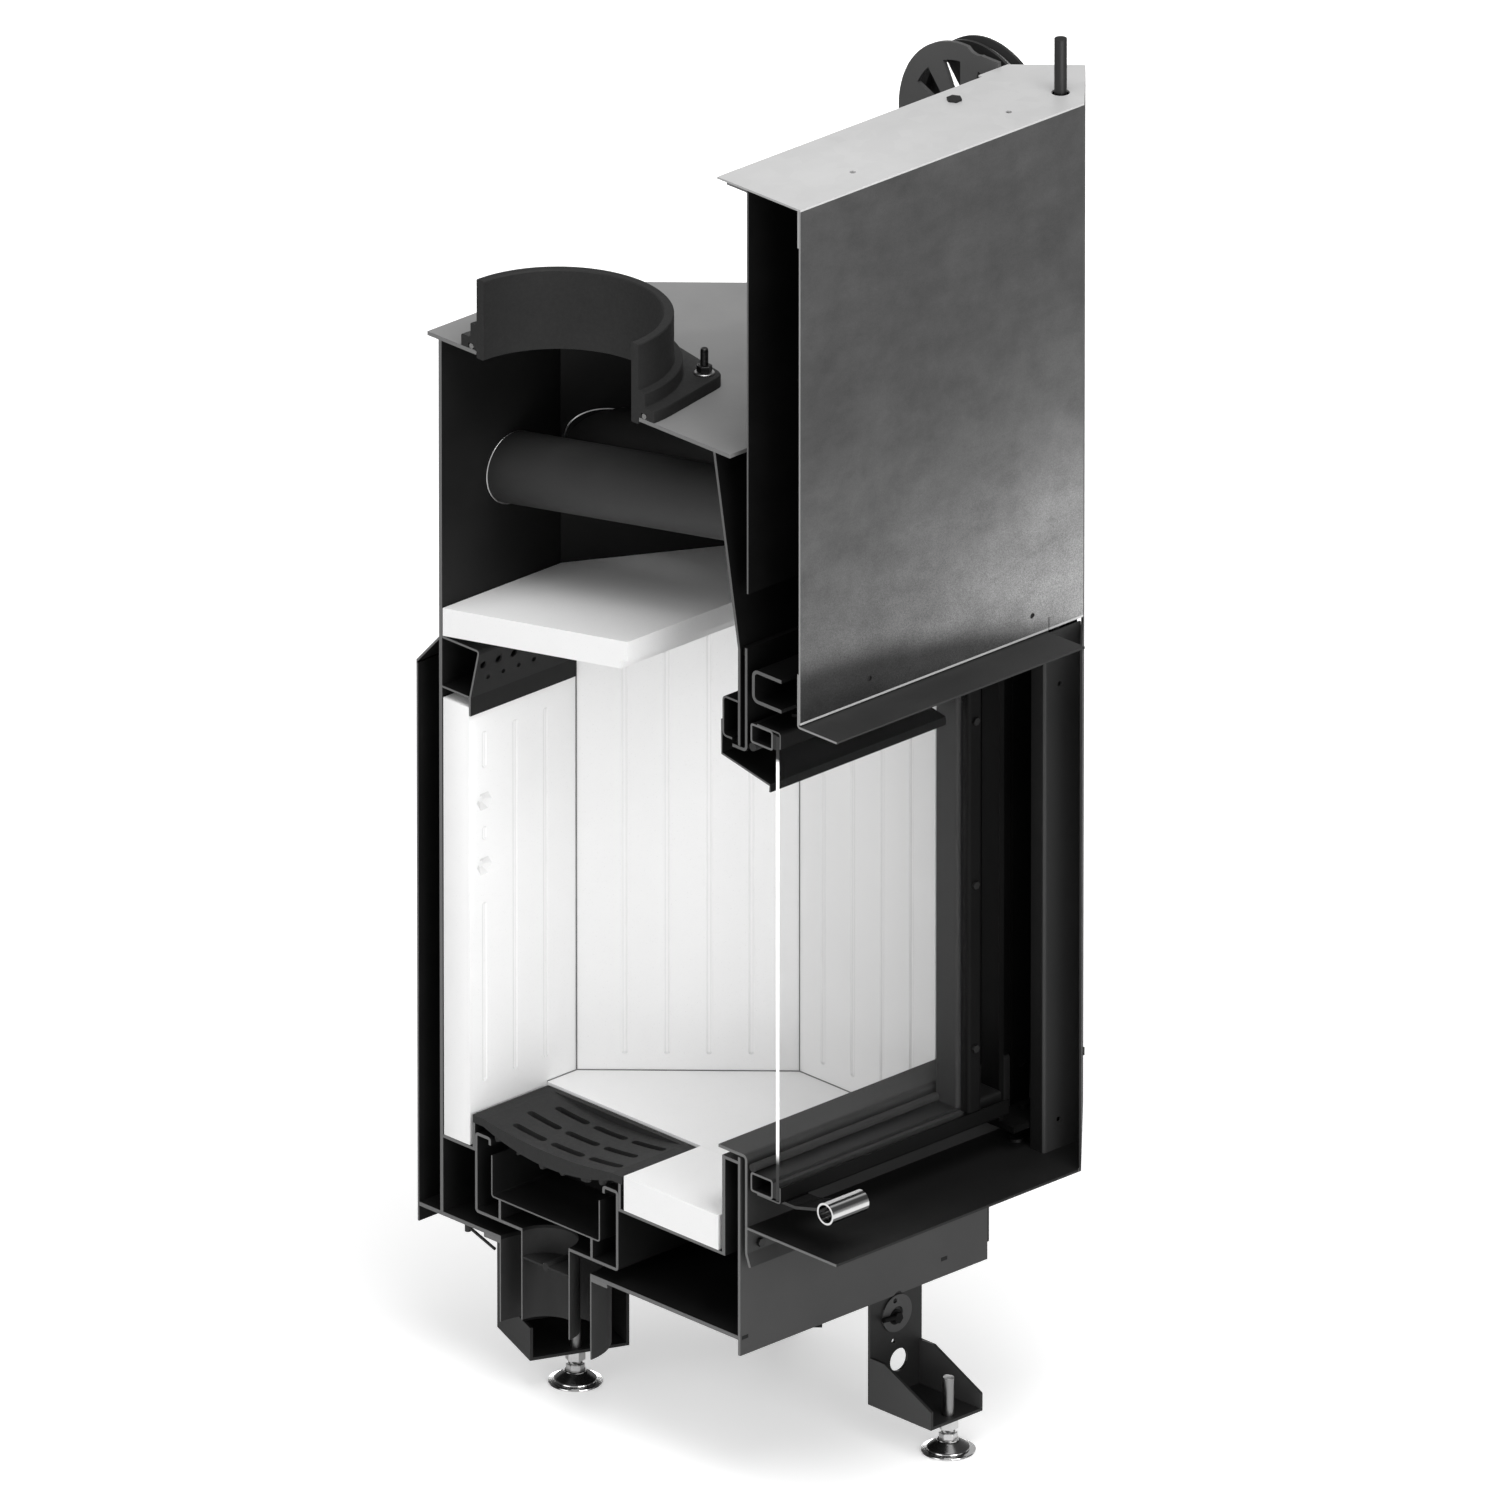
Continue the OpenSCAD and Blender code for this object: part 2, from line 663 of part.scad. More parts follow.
// Hexagonal pockets on the rear board's cut edge
pocket_rise = [187, 247];
pocket_r = 10;
pocket_in = 12;
pocket_depth = 5;
module back_lining() {
    w0 = line_sum - line_y;
    color(lining_white) difference() {
        plan([[0, line_y], [w0 - weld_gap, line_y],
              [w0 - weld_gap + lining_t * half_corner, line_back], [0, line_back]],
             tray_z, back_top - tray_z);
        for (k = [1 : floor(w0 / groove_pitch)])
            flute(groove_pitch * (k - 0.5), line_y - flute_r + flute_depth,
                  hearth_z + flute_low, back_top - flute_high);
        for (rise = pocket_rise)
            translate([0, line_y + pocket_in, hearth_z + rise]) rotate([0, 90, 0])
                cylinder(r = pocket_r, h = pocket_depth, $fn = 6);
    }
}
module angled_lining() {
    top = baffle_under(line_back) - weld_gap;
    color(lining_white) slope_frame() {
        y1 = -wall_t - lining_gap;
        y0 = y1 - lining_t;
        x0 = -y0 * half_corner + weld_gap;
        x1 = slope_len + y0 * half_corner - weld_gap;
        difference() {
            plan([[x0, y0], [x1, y0], [x1 + lining_t * half_corner, y1],
                  [x0 - lining_t * half_corner, y1]], tray_z, top - tray_z);
            for (k = [0 : 3])
                flute((x0 + x1) / 2 + groove_pitch * (k - 1.5),
                      y0 - flute_r + flute_depth, hearth_z + flute_low, top - flute_high);
        }
    }
}
// The side board has a notch at its front foot
side_front = 32;
notch = [6, 9, 51.5];
module side_lining() {
    y0 = side_front;
    y1 = line_sum - line_x - weld_gap;
    back = y1 + lining_t * half_corner;
    top = baffle_under(back) - weld_gap;
    first = 32;
    color(lining_white) difference() {
        plan([[line_x, y0], [line_x + lining_t, y0], [line_x + lining_t, back], [line_x, y1]],
             tray_z, top - tray_z);
        for (y = [y0 + first : groove_pitch : y1 - first + over])
            flute(line_x - flute_r + flute_depth, y, hearth_z + flute_low,
                  top - 2 * flute_high);
        block(line_x - over, y0 - over, tray_z - over, notch[0] + over, notch[1] + over,
              notch[2] + over);
    }
}

// Hearth boards round the grate
hearth_gap = 2;           // grate to the board beside it
grate_gap = 4.1;          // grate to the rear board
hearth_x = grate_w + hearth_gap;
hearth_y = 27;
grate_y = line_y - grate_gap - grate_d;
front_gap = 2.8;          // grate to the board before it
hearth_mid = grate_y - front_gap;
module hearth_lining() {
    gap = lining_gap;
    s = line_sum - gap * root2;
    color(lining_white) difference() {
        plan([[0, hearth_y], [line_x - gap, hearth_y], [line_x - gap, s - line_x + gap],
              [s - line_y + gap, line_y - gap], [0, line_y - gap]], tray_z, lining_t);
        block(-over, hearth_y - over, tray_z - over, hearth_x + over, body_d,
              lining_t + 2 * over);
    }
}
module front_lining() {
    color(lining_white) plan([[0, hearth_y], [hearth_x - weld_gap, hearth_y],
        [hearth_x - weld_gap, hearth_mid], [0, hearth_mid]], tray_z, lining_t);
}

// Tray under the lining, with a raised ledge round the grate opening
ledge_t = 3;
ledge_in = 1.7;           // ledge in from the grate's front edge
ledge_front = grate_y + ledge_in;
ledge_back = grate_y + grate_d - ledge_t;
ledge_x = grate_w - ledge_t;
tray_t = 3;
shield_y = 17.5;          // upright at the tray's front, behind the door
shield_t = 4;
shield_drop = 9.5;        // its top below the sill
module lining_tray() {
    z0 = tray_z - tray_t;
    top = sill_z - shield_drop;
    color(black_sheet) {
        difference() {
            plan([[0, shield_y], [inner_w - weld_gap, shield_y],
                  [inner_w - weld_gap, side_d - mitre - weld_gap],
                  [back_w - mitre - weld_gap, inner_d - weld_gap], [0, inner_d - weld_gap]],
                 z0, tray_t);
            block(-over, ledge_front + ledge_t, z0 - over, ledge_x + over,
                  ledge_back - ledge_front - ledge_t, tray_t + 2 * over);
        }
        block(0, shield_y, tray_z, line_x, shield_t, top - tray_z);
        block(0, 0, top - tray_t, line_x, shield_y, tray_t);
        block(0, ledge_front, tray_z, grate_w, ledge_t, ledge_z - tray_z);
        block(0, ledge_back, tray_z, grate_w, ledge_t, ledge_z - tray_z);
        block(ledge_x, ledge_front + ledge_t, tray_z, ledge_t,
              ledge_back - ledge_front - ledge_t, ledge_z - tray_z);
    }
}

// Ash box under the grate, and the pan that stands in it on two rails
ash_t = 3;
ash_gap = 14;             // ash box above the floor plate
ash_z = floor_top + ash_gap;
ash_h = 83;
ash_y0 = ledge_front + ledge_t + weld_gap;
ash_y1 = ledge_back - weld_gap;
ash_w = ledge_x - weld_gap;
pan_t = 1.5;
pan_h = 43;
pan_lift = 19.5;          // pan above the ash box's floor
pan_front = 25;           // room in front of the pan, behind it and beside it
pan_behind = 22;
pan_side = 12;
pan_y0 = ash_y0 + pan_front;
pan_y1 = ash_y1 - pan_behind;
pan_w = ash_w - pan_side;
module ash_box() {
    t = ash_t;
    top = ash_z + ash_h;
    flange = 20;
    hook = 8;
    rail_in = 10;
    color(black_sheet) {
        difference() {
            section_sheet([[ash_y0 + flange, top - hook], [ash_y0 + flange, top - t / 2],
                [ash_y0 + t / 2, top - t / 2], [ash_y0 + t / 2, ash_z + t / 2],
                [ash_y1 - t / 2, ash_z + t / 2], [ash_y1 - t / 2, top - t / 2],
                [ash_y1 - flange, top - t / 2], [ash_y1 - flange, top - hook]],
                t, skin_bend, 0, ash_w);
            bar_z(0, air_y, ash_z - over, pipe_r - spigot_wall, t + 2 * over);
        }
        block(ash_w - t, ash_y0 + t + weld_gap, ash_z + t, t, ash_y1 - ash_y0 - 2 * (t + weld_gap),
              ash_h - 2 * t);
        for (y = [pan_y0 + rail_in, pan_y1 - rail_in - t])
            block(0, y, ash_z + t, pan_w, t, pan_lift);
    }
}
module ash_pan() {
    t = pan_t;
    z = ash_z + ash_t + pan_lift;
    top = z + pan_h;
    color(black_sheet) {
        section_sheet([[pan_y0 + t / 2, top], [pan_y0 + t / 2, z + t / 2],
            [pan_y1 - t / 2, z + t / 2], [pan_y1 - t / 2, top]], t, skin_bend, 0, pan_w);
        block(pan_w - t, pan_y0 + t, z + t, t, pan_y1 - pan_y0 - 2 * t, pan_h - t);
    }
}

// Grate: a cast plate, dished above and bellied below, with rows of long slots
grate_sink = 2;           // grate's top below the hearth
module grate() {
    rim_h = ledge_drop - grate_sink;
    dish_h = 7;
    belly_h = 15;
    flat_w = 14;
    steps = 14;
    slot_l = 36;
    slot_r = 4;
    first_x = 18;
    first_y = 22;
    pitch_x = 28;
    pitch_y = 52;
    mid = grate_y + grate_d / 2;
    half = grate_d / 2 - flat_w;
    top = hearth_z - grate_sink;
    deep_h = rim_h + belly_h + over;
    arc = [for (k = [0 : steps]) let (u = 2 * k / steps - 1) [mid + half * u, 1 - u * u]];
    color(iron) difference() {
        union() {
            block(0, grate_y, top - rim_h, grate_w, grate_d, rim_h);
            section(concat([[mid - half, top - rim_h + over], [mid + half, top - rim_h + over]],
                [for (k = [steps : -1 : 0]) [arc[k][0], top - rim_h - belly_h * arc[k][1]]]),
                0, ash_w - ash_t - weld_gap);
        }
        section(concat([[mid + half, top + over], [mid - half, top + over]],
            [for (p = arc) [p[0], top - dish_h * p[1]]]), -over, ledge_x - ledge_t + over);
        for (row = [0 : 2], k = [0 : 2]) {
            x = first_x + pitch_x * row;
            y = grate_y + first_y + pitch_y * k + (row == 1 ? slot_l / 4 : 0);
            plan(slot_points(x, y, y + slot_l, slot_r), top - deep_h, deep_h + over);
        }
    }
}

// Outside air spigot, the combustion air pipe inside it and its damper
spigot_l = 84.8;
spigot_flange = 21.5;
pipe_short = 11.3;        // pipe's end above the spigot's
damper_drop = 8.5;        // spindle below the floor plate
damper_z = floor_z - damper_drop;
spindle_r = 4;
module air_spigot() {
    low = floor_z - spigot_l;
    color(grey_sheet) intersection() {
        difference() {
            union() {
                bar_z(0, air_y, low, spigot_r, spigot_l);
                bar_z(0, air_y, floor_z - wall_t, spigot_r + spigot_flange, wall_t);
            }
            bar_z(0, air_y, low - over, spigot_r - spigot_wall, spigot_l + 2 * over);
            bar_x(-over, air_y, damper_z, spindle_r + run_gap, spigot_r + 3 * over);
        }
        half_space();
    }
}
module primary_air_pipe() {
    z0 = floor_z - spigot_l + pipe_short;
    color(grey_sheet) intersection() {
        difference() {
            bar_z(0, air_y, z0, pipe_r, ash_z - z0);
            bar_z(0, air_y, z0 - over, pipe_r - spigot_wall, ash_z - z0 + 2 * over);
            bar_x(-over, air_y, damper_z, spindle_r + run_gap, pipe_r + 3 * over);
        }
        half_space();
    }
}
module damper_flap() {
    flap_t = 2;
    flap_gap = 0.6;
    lever_gap = 32.5;
    lever_x = spigot_r + lever_gap;
    lever_l = 26;
    lever_r = 6;
    lever_t = 3;
    eye_r = 2.5;
    color(iron) {
        intersection() {
            bar_z(0, air_y, damper_z - flap_t / 2, pipe_r - spigot_wall - flap_gap, flap_t);
            half_space();
        }
        bar_x(0, air_y, damper_z, spindle_r, lever_x + lever_t);
        difference() {
            union() {
                block(lever_x, air_y - lever_r, damper_z - lever_l, lever_t, 2 * lever_r, lever_l);
                bar_x(lever_x, air_y, damper_z, lever_r, lever_t);
                bar_x(lever_x, air_y, damper_z - lever_l, lever_r, lever_t);
            }
            bar_x(lever_x - over, air_y, damper_z - lever_l, eye_r, lever_t + 2 * over);
        }
    }
}
// Control rod under the floor plate, with the boss it ends in
module damper_control_rod() {
    x = 3;
    back = 72;
    y0 = air_y + back;
    run = 37;
    wire_r = 1.5;
    boss_l = 7;
    lean = 18;
    color(iron) {
        translate([x, y0, floor_z - 2 * boss_l]) rotate([lean - 90, 0, 0])
            cylinder(r = wire_r, h = run);
        bar_z(x, y0 + run, floor_z - boss_l, 2 * wire_r, boss_l);
    }
}

// Hood: front panel, top, rear wall, lip, corner plate and side cheek
panel_z = lip_z + skin_bend + skin_t / 2 + weld_gap;
hood_hole_r = 3;
panel_hole_x = 90.5;
panel_hole_in = 26;
panel_hole_rise = 24.5;
lip_in = 5;               // lip's end in from the side wall
lip_x = body_w - lip_in;
module hood_front_panel() {
    t = skin_t;
    slit = [1.2, 13];
    color(zinc) difference() {
        plan([[0, hood_y], point_a, point_a + [t, t], [0, hood_y + t]],
             panel_z, hood_under - panel_z);
        for (x = [panel_hole_x, body_w - panel_hole_in])
            bar_y(x, hood_y - over, lip_z + panel_hole_rise, hood_hole_r, t + 2 * over);
        block(lip_x, hood_y - over, panel_z - over, slit[0], t + 2 * over, slit[1] + over);
    }
}
rear_flange = 5;          // top plate short of the corner plate's outer face
top_back = hood_back - rear_flange;
rod_hole = 2.7;           // room round the guide rod
module hood_top_plate() {
    t = skin_t;
    lap_h = 37.5;
    lap_in = 10;
    hole_x = 99;
    hole_in = 25.4;
    hole_y = [32, 34];
    color(zinc) difference() {
        union() {
            plan([[0, hood_y], point_a, point_b, point_c, [leg_x, hood_back],
                  [leg_x, top_back], [0, top_back]], hood_under, t);
            block(0, hood_y + t, hood_under - lap_h, hood_w - lap_in, t, lap_h);
        }
        for (p = [[hole_x, hole_y[0]], [body_w - hole_in, hole_y[1]]])
            bar_z(p[0], hood_y + p[1], hood_under - over, hood_hole_r, t + 2 * over);
        bar_z(rod_x, rod_y, hood_under - over, rod_r + rod_hole, t + 2 * over);
    }
}
wall_y = -13;
wall_flange = 13;         // rear wall's rearward flange short of the top plate's edge
wall_rise = 108;          // its lower edge above the lift beam
module hood_rear_wall() {
    t = skin_t;
    color(black_sheet) section_sheet([[top_back - wall_flange, hood_under - t / 2],
        [wall_y, hood_under - t / 2], [wall_y, beam_z + wall_rise]], t, skin_bend, 0,
        leg_x - weld_gap);
}
module hood_lip() {
    t = skin_t;
    y = hood_y + 1.5 * t;
    lap_h = 55;
    color(black_sheet) section_sheet([[y, lip_z + lap_h], [y, lip_z + t / 2],
        [shelf_y, lip_z + t / 2]], t, skin_bend, 0, lip_x);
}
slot_w = 26.5;            // slot that the pulley stands in
slot_h = 147;
slot_x0 = point_c[0] + 1;
module corner_plate() {
    t = skin_t;
    y = hood_back - t / 2;
    s = corner_sum - t / root2;
    end_y = hood_bx + 2 * t;
    color(black_sheet) difference() {
        plan_sheet([[leg_x + t / 2, wall_y - t / 2], [leg_x + t / 2, y], [s - y, y],
                    [s - end_y, end_y]], t, skin_bend, shelf_z, hood_under - shelf_z);
        block(slot_x0, hood_bx - over, wheel_z - slot_h / 2 - t, slot_w,
              hood_back - hood_bx + 2 * over, slot_h);
    }
}
module side_cheek() {
    t = skin_t;
    in = t * root2;
    low_y = shelf_y;
    z0 = shelf_z - shelf_t;
    seam = [t, t] + weld_gap / 2 * [1, 1];
    color(grey_sheet) {
        plan([[slope_off + low_y, low_y], point_b, point_b - [t, -t] / root2,
              [slope_off + low_y - in, low_y]], z0, lip_z - z0);
        plan([point_a + seam, point_b, point_b - [t, -t] / root2, point_a + seam - [in, 0]],
             lip_z - over, hood_under - lip_z + over);
    }
}
jamb_in = 10;             // jamb plate's side in from the side wall
jamb_x = body_w - jamb_in;
jamb_d = 18;              // depth of its bent leg
jamb_hole_out = 19.8;
jamb_hole_x = jamb_x + jamb_hole_out;
jamb_hole_r = 2.75;
jamb_hole_drop = 55.8;    // upper hole below the hood's lip
jamb_spacing = 448;       // lower hole below the upper one
module jamb_plate() {
    t = skin_t;
    end_x = slope_off - t * root2 + hood_y - weld_gap;
    color(black_sheet) difference() {
        plan_sheet([[jamb_x + t / 2, hood_y + jamb_d], [jamb_x + t / 2, hood_y + t / 2],
                    [end_x, hood_y + t / 2]], t, skin_bend, shelf_z, lip_z - shelf_z);
        for (drop = [jamb_hole_drop, jamb_hole_drop + jamb_spacing])
            bar_y(jamb_hole_x, hood_y - over, lip_z - drop, jamb_hole_r, t + 2 * over);
    }
}
channel_front = -10;      // lift guide's two legs, as middle lines
channel_back = 7;
module guide_channel() {
    t = skin_t;
    x = leg_x + 1.5 * t;
    leg = 23;
    y0 = channel_front;
    y1 = channel_back;
    color(black_sheet) plan_sheet([[x + leg, y0], [x, y0], [x, y1], [x + leg, y1]], t,
        skin_bend, shelf_z, lip_z - shelf_z);
}
module door_shelf() {
    off = slope_off - skin_t * root2 - weld_gap;
    sum = corner_sum - skin_t * root2 - weld_gap;
    color(black_sheet) plan([[0, face_y], [0, shelf_y], [off + shelf_y, shelf_y],
        [(sum + off) / 2, (sum - off) / 2], [sum - face_y, face_y]],
        shelf_z - shelf_t, shelf_t);
}
rod_out = 26.5;           // guide rod from the corner plate's inner leg
rod_x = leg_x + rod_out;
rod_y = -50;
rod_rise = 55;            // guide rod above the hood
module guide_rod() {
    color(iron) bar_z(rod_x, rod_y, shelf_z, rod_r, hood_z + rod_rise - shelf_z);
}

// Pulley on the corner plate, its bracket and axle
wheel_in = 36.6;          // wheel in from the hood's side
wheel_x = hood_x - wheel_in;
wheel_back = 47;          // wheel's middle behind the corner plate
wheel_y = hood_back + wheel_back;
wheel_drop = 78;          // wheel's middle below the hood's top
wheel_z = hood_z - wheel_drop;
flange_h = 7.5;           // rim above the groove
wheel_r = groove_r + flange_h;
wheel_w = 18;
axle_r = 8;
sleeve_t = 3;
windows = 9;
window_a = 36.7;
module window_cuts(x0, w) {
    in_r = 38;
    rim = 14;
    out_r = wheel_r - rim;
    half = 10;
    narrow = 0.7;
    steps = 4;
    translate([x0, wheel_y, wheel_z]) rotate([90, 0, 90])
        for (k = [0 : windows - 1]) rotate([0, 0, window_a + 360 / windows * k])
            linear_extrude(w) {
                polygon(concat(
                    [for (i = [-steps : steps]) let (a = half * i / steps)
                        out_r * [cos(a), sin(a)]],
                    [for (i = [steps : -1 : -steps]) let (a = narrow * half * i / steps)
                        in_r * [cos(a), sin(a)]]));
            }
}
plate_t = 4;
near_gap = 27.5;          // the bracket's two plates, either side of the wheel
far_gap = 22;
near_x = wheel_x - near_gap;
far_x = wheel_x + far_gap;
module pulley_bracket() {
    t = plate_t;
    disc_lap = 4;
    disc_r = wheel_r + disc_lap;
    bridge_gap = 7;
    bridge_z = wheel_z - disc_r - bridge_gap;
    bridge_w = 60;
    tongue_w = 40;
    scoop_r = 17;
    scoop_in = 6;
    scoop_rise = 12;
    color(iron) difference() {
        union() {
            bar_x(near_x, wheel_y, wheel_z, disc_r, t);
            block(near_x, hood_back, bridge_z, t, wheel_back, wheel_z + wheel_r - bridge_z);
            block(near_x, wheel_y - bridge_w / 2, bridge_z, far_x + t - near_x, bridge_w, t);
            block(far_x, wheel_y - tongue_w / 2, bridge_z, t, tongue_w, wheel_z - bridge_z);
            bar_x(far_x, wheel_y, wheel_z, tongue_w / 2, t);
        }
        bar_x(near_x - over, wheel_y, wheel_z, axle_r + run_gap, far_x - near_x + t + 2 * over);
        window_cuts(near_x - over, t + 2 * over);
        translate([near_x - over, hood_back + wheel_back / 2 + scoop_in,
                   wheel_z + disc_r + scoop_rise])
            rotate([0, 90, 0]) cylinder(r = scoop_r, h = t + 2 * over);
        block(near_x - over, wheel_y - disc_r - over, wheel_z - disc_r - over, t + 2 * over,
              hood_back + weld_gap - wheel_y + disc_r + over, 2 * (disc_r + over));
    }
}
module pulley_axle() {
    stub = 4;
    head_t = 6;
    head_r = axle_r + sleeve_t;
    end_x = far_x + plate_t;
    color(bright) {
        bar_x(near_x - stub, wheel_y, wheel_z, axle_r, end_x - near_x + 2 * stub);
        bar_x(near_x - 2 * stub, wheel_y, wheel_z, head_r, 2 * stub - weld_gap);
        bar_x(end_x + weld_gap, wheel_y, wheel_z, head_r, head_t);
        for (ends = [[near_x + plate_t, wheel_x - wheel_w / 2], [wheel_x + wheel_w / 2, far_x]])
            difference() {
                bar_x(ends[0] + weld_gap, wheel_y, wheel_z, head_r,
                      ends[1] - ends[0] - 2 * weld_gap);
                bar_x(ends[0], wheel_y, wheel_z, axle_r - over, ends[1] - ends[0]);
            }
    }
}
module pulley_wheel() {
    w = wheel_w / 2;
    web = 3;
    hub_r = 18;
    rim = 11;
    rim_r = wheel_r - rim;
    slope = 2;
    seat = 2 * cable_r;
    profile = [[axle_r + run_gap, w], [hub_r, w], [hub_r + slope, web], [rim_r - slope, web],
               [rim_r, w], [wheel_r, w], [wheel_r, w - web], [groove_r, seat]];
    color(iron) difference() {
        translate([wheel_x, wheel_y, wheel_z]) rotate([0, 90, 0]) rotate_extrude()
            polygon(concat(profile, [for (i = [len(profile) - 1 : -1 : 0])
                [profile[i][0], -profile[i][1]]]));
        window_cuts(wheel_x - wheel_w, 2 * wheel_w);
    }
}

// Lift cable: down to the carriage at the front, over the pulley, down to the weight
cable_at = groove_r + cable_r + run_gap;
cable_front_y = wheel_y - cable_at;
cable_rear_y = wheel_y + cable_at;
arm_t = 6;
arm_z = beam_z - arm_t;
weight_drop = 110;        // top of the counterweight below the wheel's middle
weight_z = wheel_z - weight_drop - weight_h;
module lift_cable_front() {
    color(bright) bar_z(wheel_x, cable_front_y, beam_z, cable_r, wheel_z - beam_z);
}
module lift_cable_rear() {
    color(bright) {
        bar_z(wheel_x, cable_rear_y, weight_z + weight_h, cable_r,
              wheel_z - weight_z - weight_h);
        intersection() {
            translate([wheel_x, wheel_y, wheel_z]) rotate([0, 90, 0]) rotate_extrude()
                translate([cable_at, 0]) circle(r = cable_r, $fn = 16);
            block(wheel_x - 3 * cable_r, wheel_y - wheel_r, wheel_z, 6 * cable_r, 2 * wheel_r,
                  2 * wheel_r);
        }
    }
}
weight_w = 40;
weight_d = 51;
module counterweight() {
    x = wheel_x - weight_w / 2;
    y = cable_rear_y - weight_d / 2;
    recess = [3, 6];
    color(iron) difference() {
        block(x, y, weight_z, weight_w, weight_d, weight_h);
        block(x - over, y - over, weight_z + weight_h / 2, recess[0] + over, recess[1] + over,
              weight_h);
    }
}
channel_room = 4.5;       // channel's middle line past the counterweight
channel_over = 15;        // channel below the counterweight's lowest place
channel_lap = 10;        // channel above the counterweight
lug_rise = [560, 860];    // its lugs above the floor plate
lug_t = 4;
lug_w = 24;
module counterweight_channel() {
    t = skin_t;
    y0 = cable_rear_y - weight_d / 2 - channel_room;
    y1 = cable_rear_y + weight_d / 2 + channel_room;
    x0 = wheel_x - weight_w / 2 - channel_room;
    x1 = wheel_x + weight_w / 2 + channel_room;
    z0 = weight_z - travel - channel_over;
    lug_y = cable_rear_y - lug_w / 2;
    color(black_sheet) {
        plan_sheet([[x1, y0], [x0, y0], [x0, y1], [x1, y1]], t, skin_bend, z0,
                   weight_z + weight_h + channel_lap - z0);
        for (rise = lug_rise) {
            block(body_w, lug_y, floor_top + rise, x0 - body_w, lug_w, lug_t);
            block(body_w, lug_y, floor_top + rise - lug_w, sheet_t, lug_w, lug_w + lug_t);
        }
        block(x0 + t / 2 + weld_gap, y0 + t / 2 + weld_gap, z0, x1 - x0 - 1.5 * t,
              y1 - y0 - t - 2 * weld_gap, t);
    }
}

// Small bolts and caps that stay with the casing
small_af = 8;
module casing_screws() {
    head_t = 4;
    bolt_af = 13;
    bolt_h = 2.5;
    bolt_in = [42.4, 18.7];
    plug_t = 3;
    plug_in = [5, 42];
    under_sill = 93;
    channel_ends = [55, 42];
    channel_in = 17;
    cheek_in = 17;
    cheek_rise = 80;
    channel_face = channel_front - skin_t / 2;
    color(iron) {
        hex_y(2 * small_af, face_y - head_t, sill_z - under_sill, small_af, head_t);
        hex_z(body_w - bolt_in[0], wall_y + bolt_in[1], hood_z, bolt_af, bolt_h);
        bar_z(body_w - plug_in[0], -plug_in[1], shelf_z, small_af, plug_t);
        for (z = [shelf_z + channel_ends[0], lip_z - channel_ends[1]])
            hex_y(leg_x + channel_in, channel_face - head_t, z, small_af, head_t);
        translate([hood_w + cheek_in, hood_y + cheek_in, shelf_z + cheek_rise])
            rotate([0, 90, -45]) cylinder(r = head_t, h = head_t / 2);
    }
}

// Foot brackets: a base, an upright plate against the casing and two sloping gussets
foot_in = [-122.5, 64.5, -47];    // from the side wall, the cut and the side wall
foot_off = [-71, -117.1, 16.4];   // from the front plate, the rear and the corner
foot_x = [body_w, 0, body_w] + foot_in;
foot_y = [0, body_d, side_d] + foot_off;
foot_turn = [0, -22.5, 135];
foot_w = [68, 101, 101];
base_t = 3;
foot_back = 71;
foot_front = 11.5;
module foot_frame(i) {
    translate([foot_x[i], foot_y[i], 0]) rotate([0, 0, foot_turn[i]]) children();
}
// One gusset: its height above the base at the front, at mid_y and at the back
module gusset(x, mid_y, rise) {
    z = bracket_z + base_t;
    section([[-foot_front, z], [-foot_front, bracket_z + rise[0]], [mid_y, bracket_z + rise[1]],
             [foot_back, bracket_z + rise[2]], [foot_back, z]], x, base_t);
}
module foot_brackets() {
    front_mid = 52;
    front_rise = [18.5, 48.5, 48.5];
    rear_mid = [20, 30];
    low_h = 34;
    step_h = 60;
    mid_h = 90;
    high_h = 110;
    // Holes in the plate and in the disc: across, height above the bracket, radius
    plate_holes = [[4, 35.5, 11.6], [-3, 57, 2.5]];
    disc_holes = [[0, 85.5, 7], [-3, 99, 2.5]];
    disc_r = 19;
    disc_h = 85.5;
    disc_t = 2;
    color(black_sheet) for (i = [0, 1, 2]) foot_frame(i) {
        w = foot_w[i];
        difference() {
            union() {
                block(-w / 2, -foot_front, bracket_z, w, foot_back + base_t + foot_front, base_t);
                block(-w / 2, foot_back, bracket_z + base_t, w, base_t,
                      floor_z - bracket_z - base_t);
                if (i == 0) {
                    for (x = [-w / 2, w / 2 - base_t]) gusset(x, front_mid, front_rise);
                } else {
                    gusset(-w / 2, rear_mid[0], [low_h, low_h, high_h]);
                    gusset(w / 2 - base_t, rear_mid[1], [step_h, mid_h, high_h]);
                }
            }
            bar_z(0, 0, bracket_z - over, stud_r + hole_gap, base_t + 2 * over);
            if (i == 0) for (p = plate_holes)
                bar_y(p[0], foot_back - over, bracket_z + p[1], p[2], base_t + 2 * over);
        }
        if (i == 0) difference() {
            bar_y(0, foot_back - disc_t, bracket_z + disc_h, disc_r, disc_t);
            for (p = disc_holes)
                bar_y(p[0], foot_back - disc_t - over, bracket_z + p[1], p[2],
                      disc_t + 2 * over);
        }
    }
}

// Levelling feet: a pad, a stud and a nut each
module levelling_feet() {
    pad_h = 4;
    cone_h = 11;
    cone_share = 0.77;
    socket_t = 2.5;
    stud_rise = 42;
    nut_h = 8;
    nut_af = 3 * stud_r;
    color(bright) for (i = [0, 1, 2]) foot_frame(i) {
        bar_z(0, 0, 0, pad_r, pad_h);
        translate([0, 0, pad_h])
            cylinder(r1 = pad_r * cone_share, r2 = stud_r + socket_t, h = cone_h);
        bar_z(0, 0, pad_h, stud_r, bracket_z + stud_rise - pad_h);
        hex_z(0, 0, bracket_z - nut_h, nut_af, nut_h);
    }
}

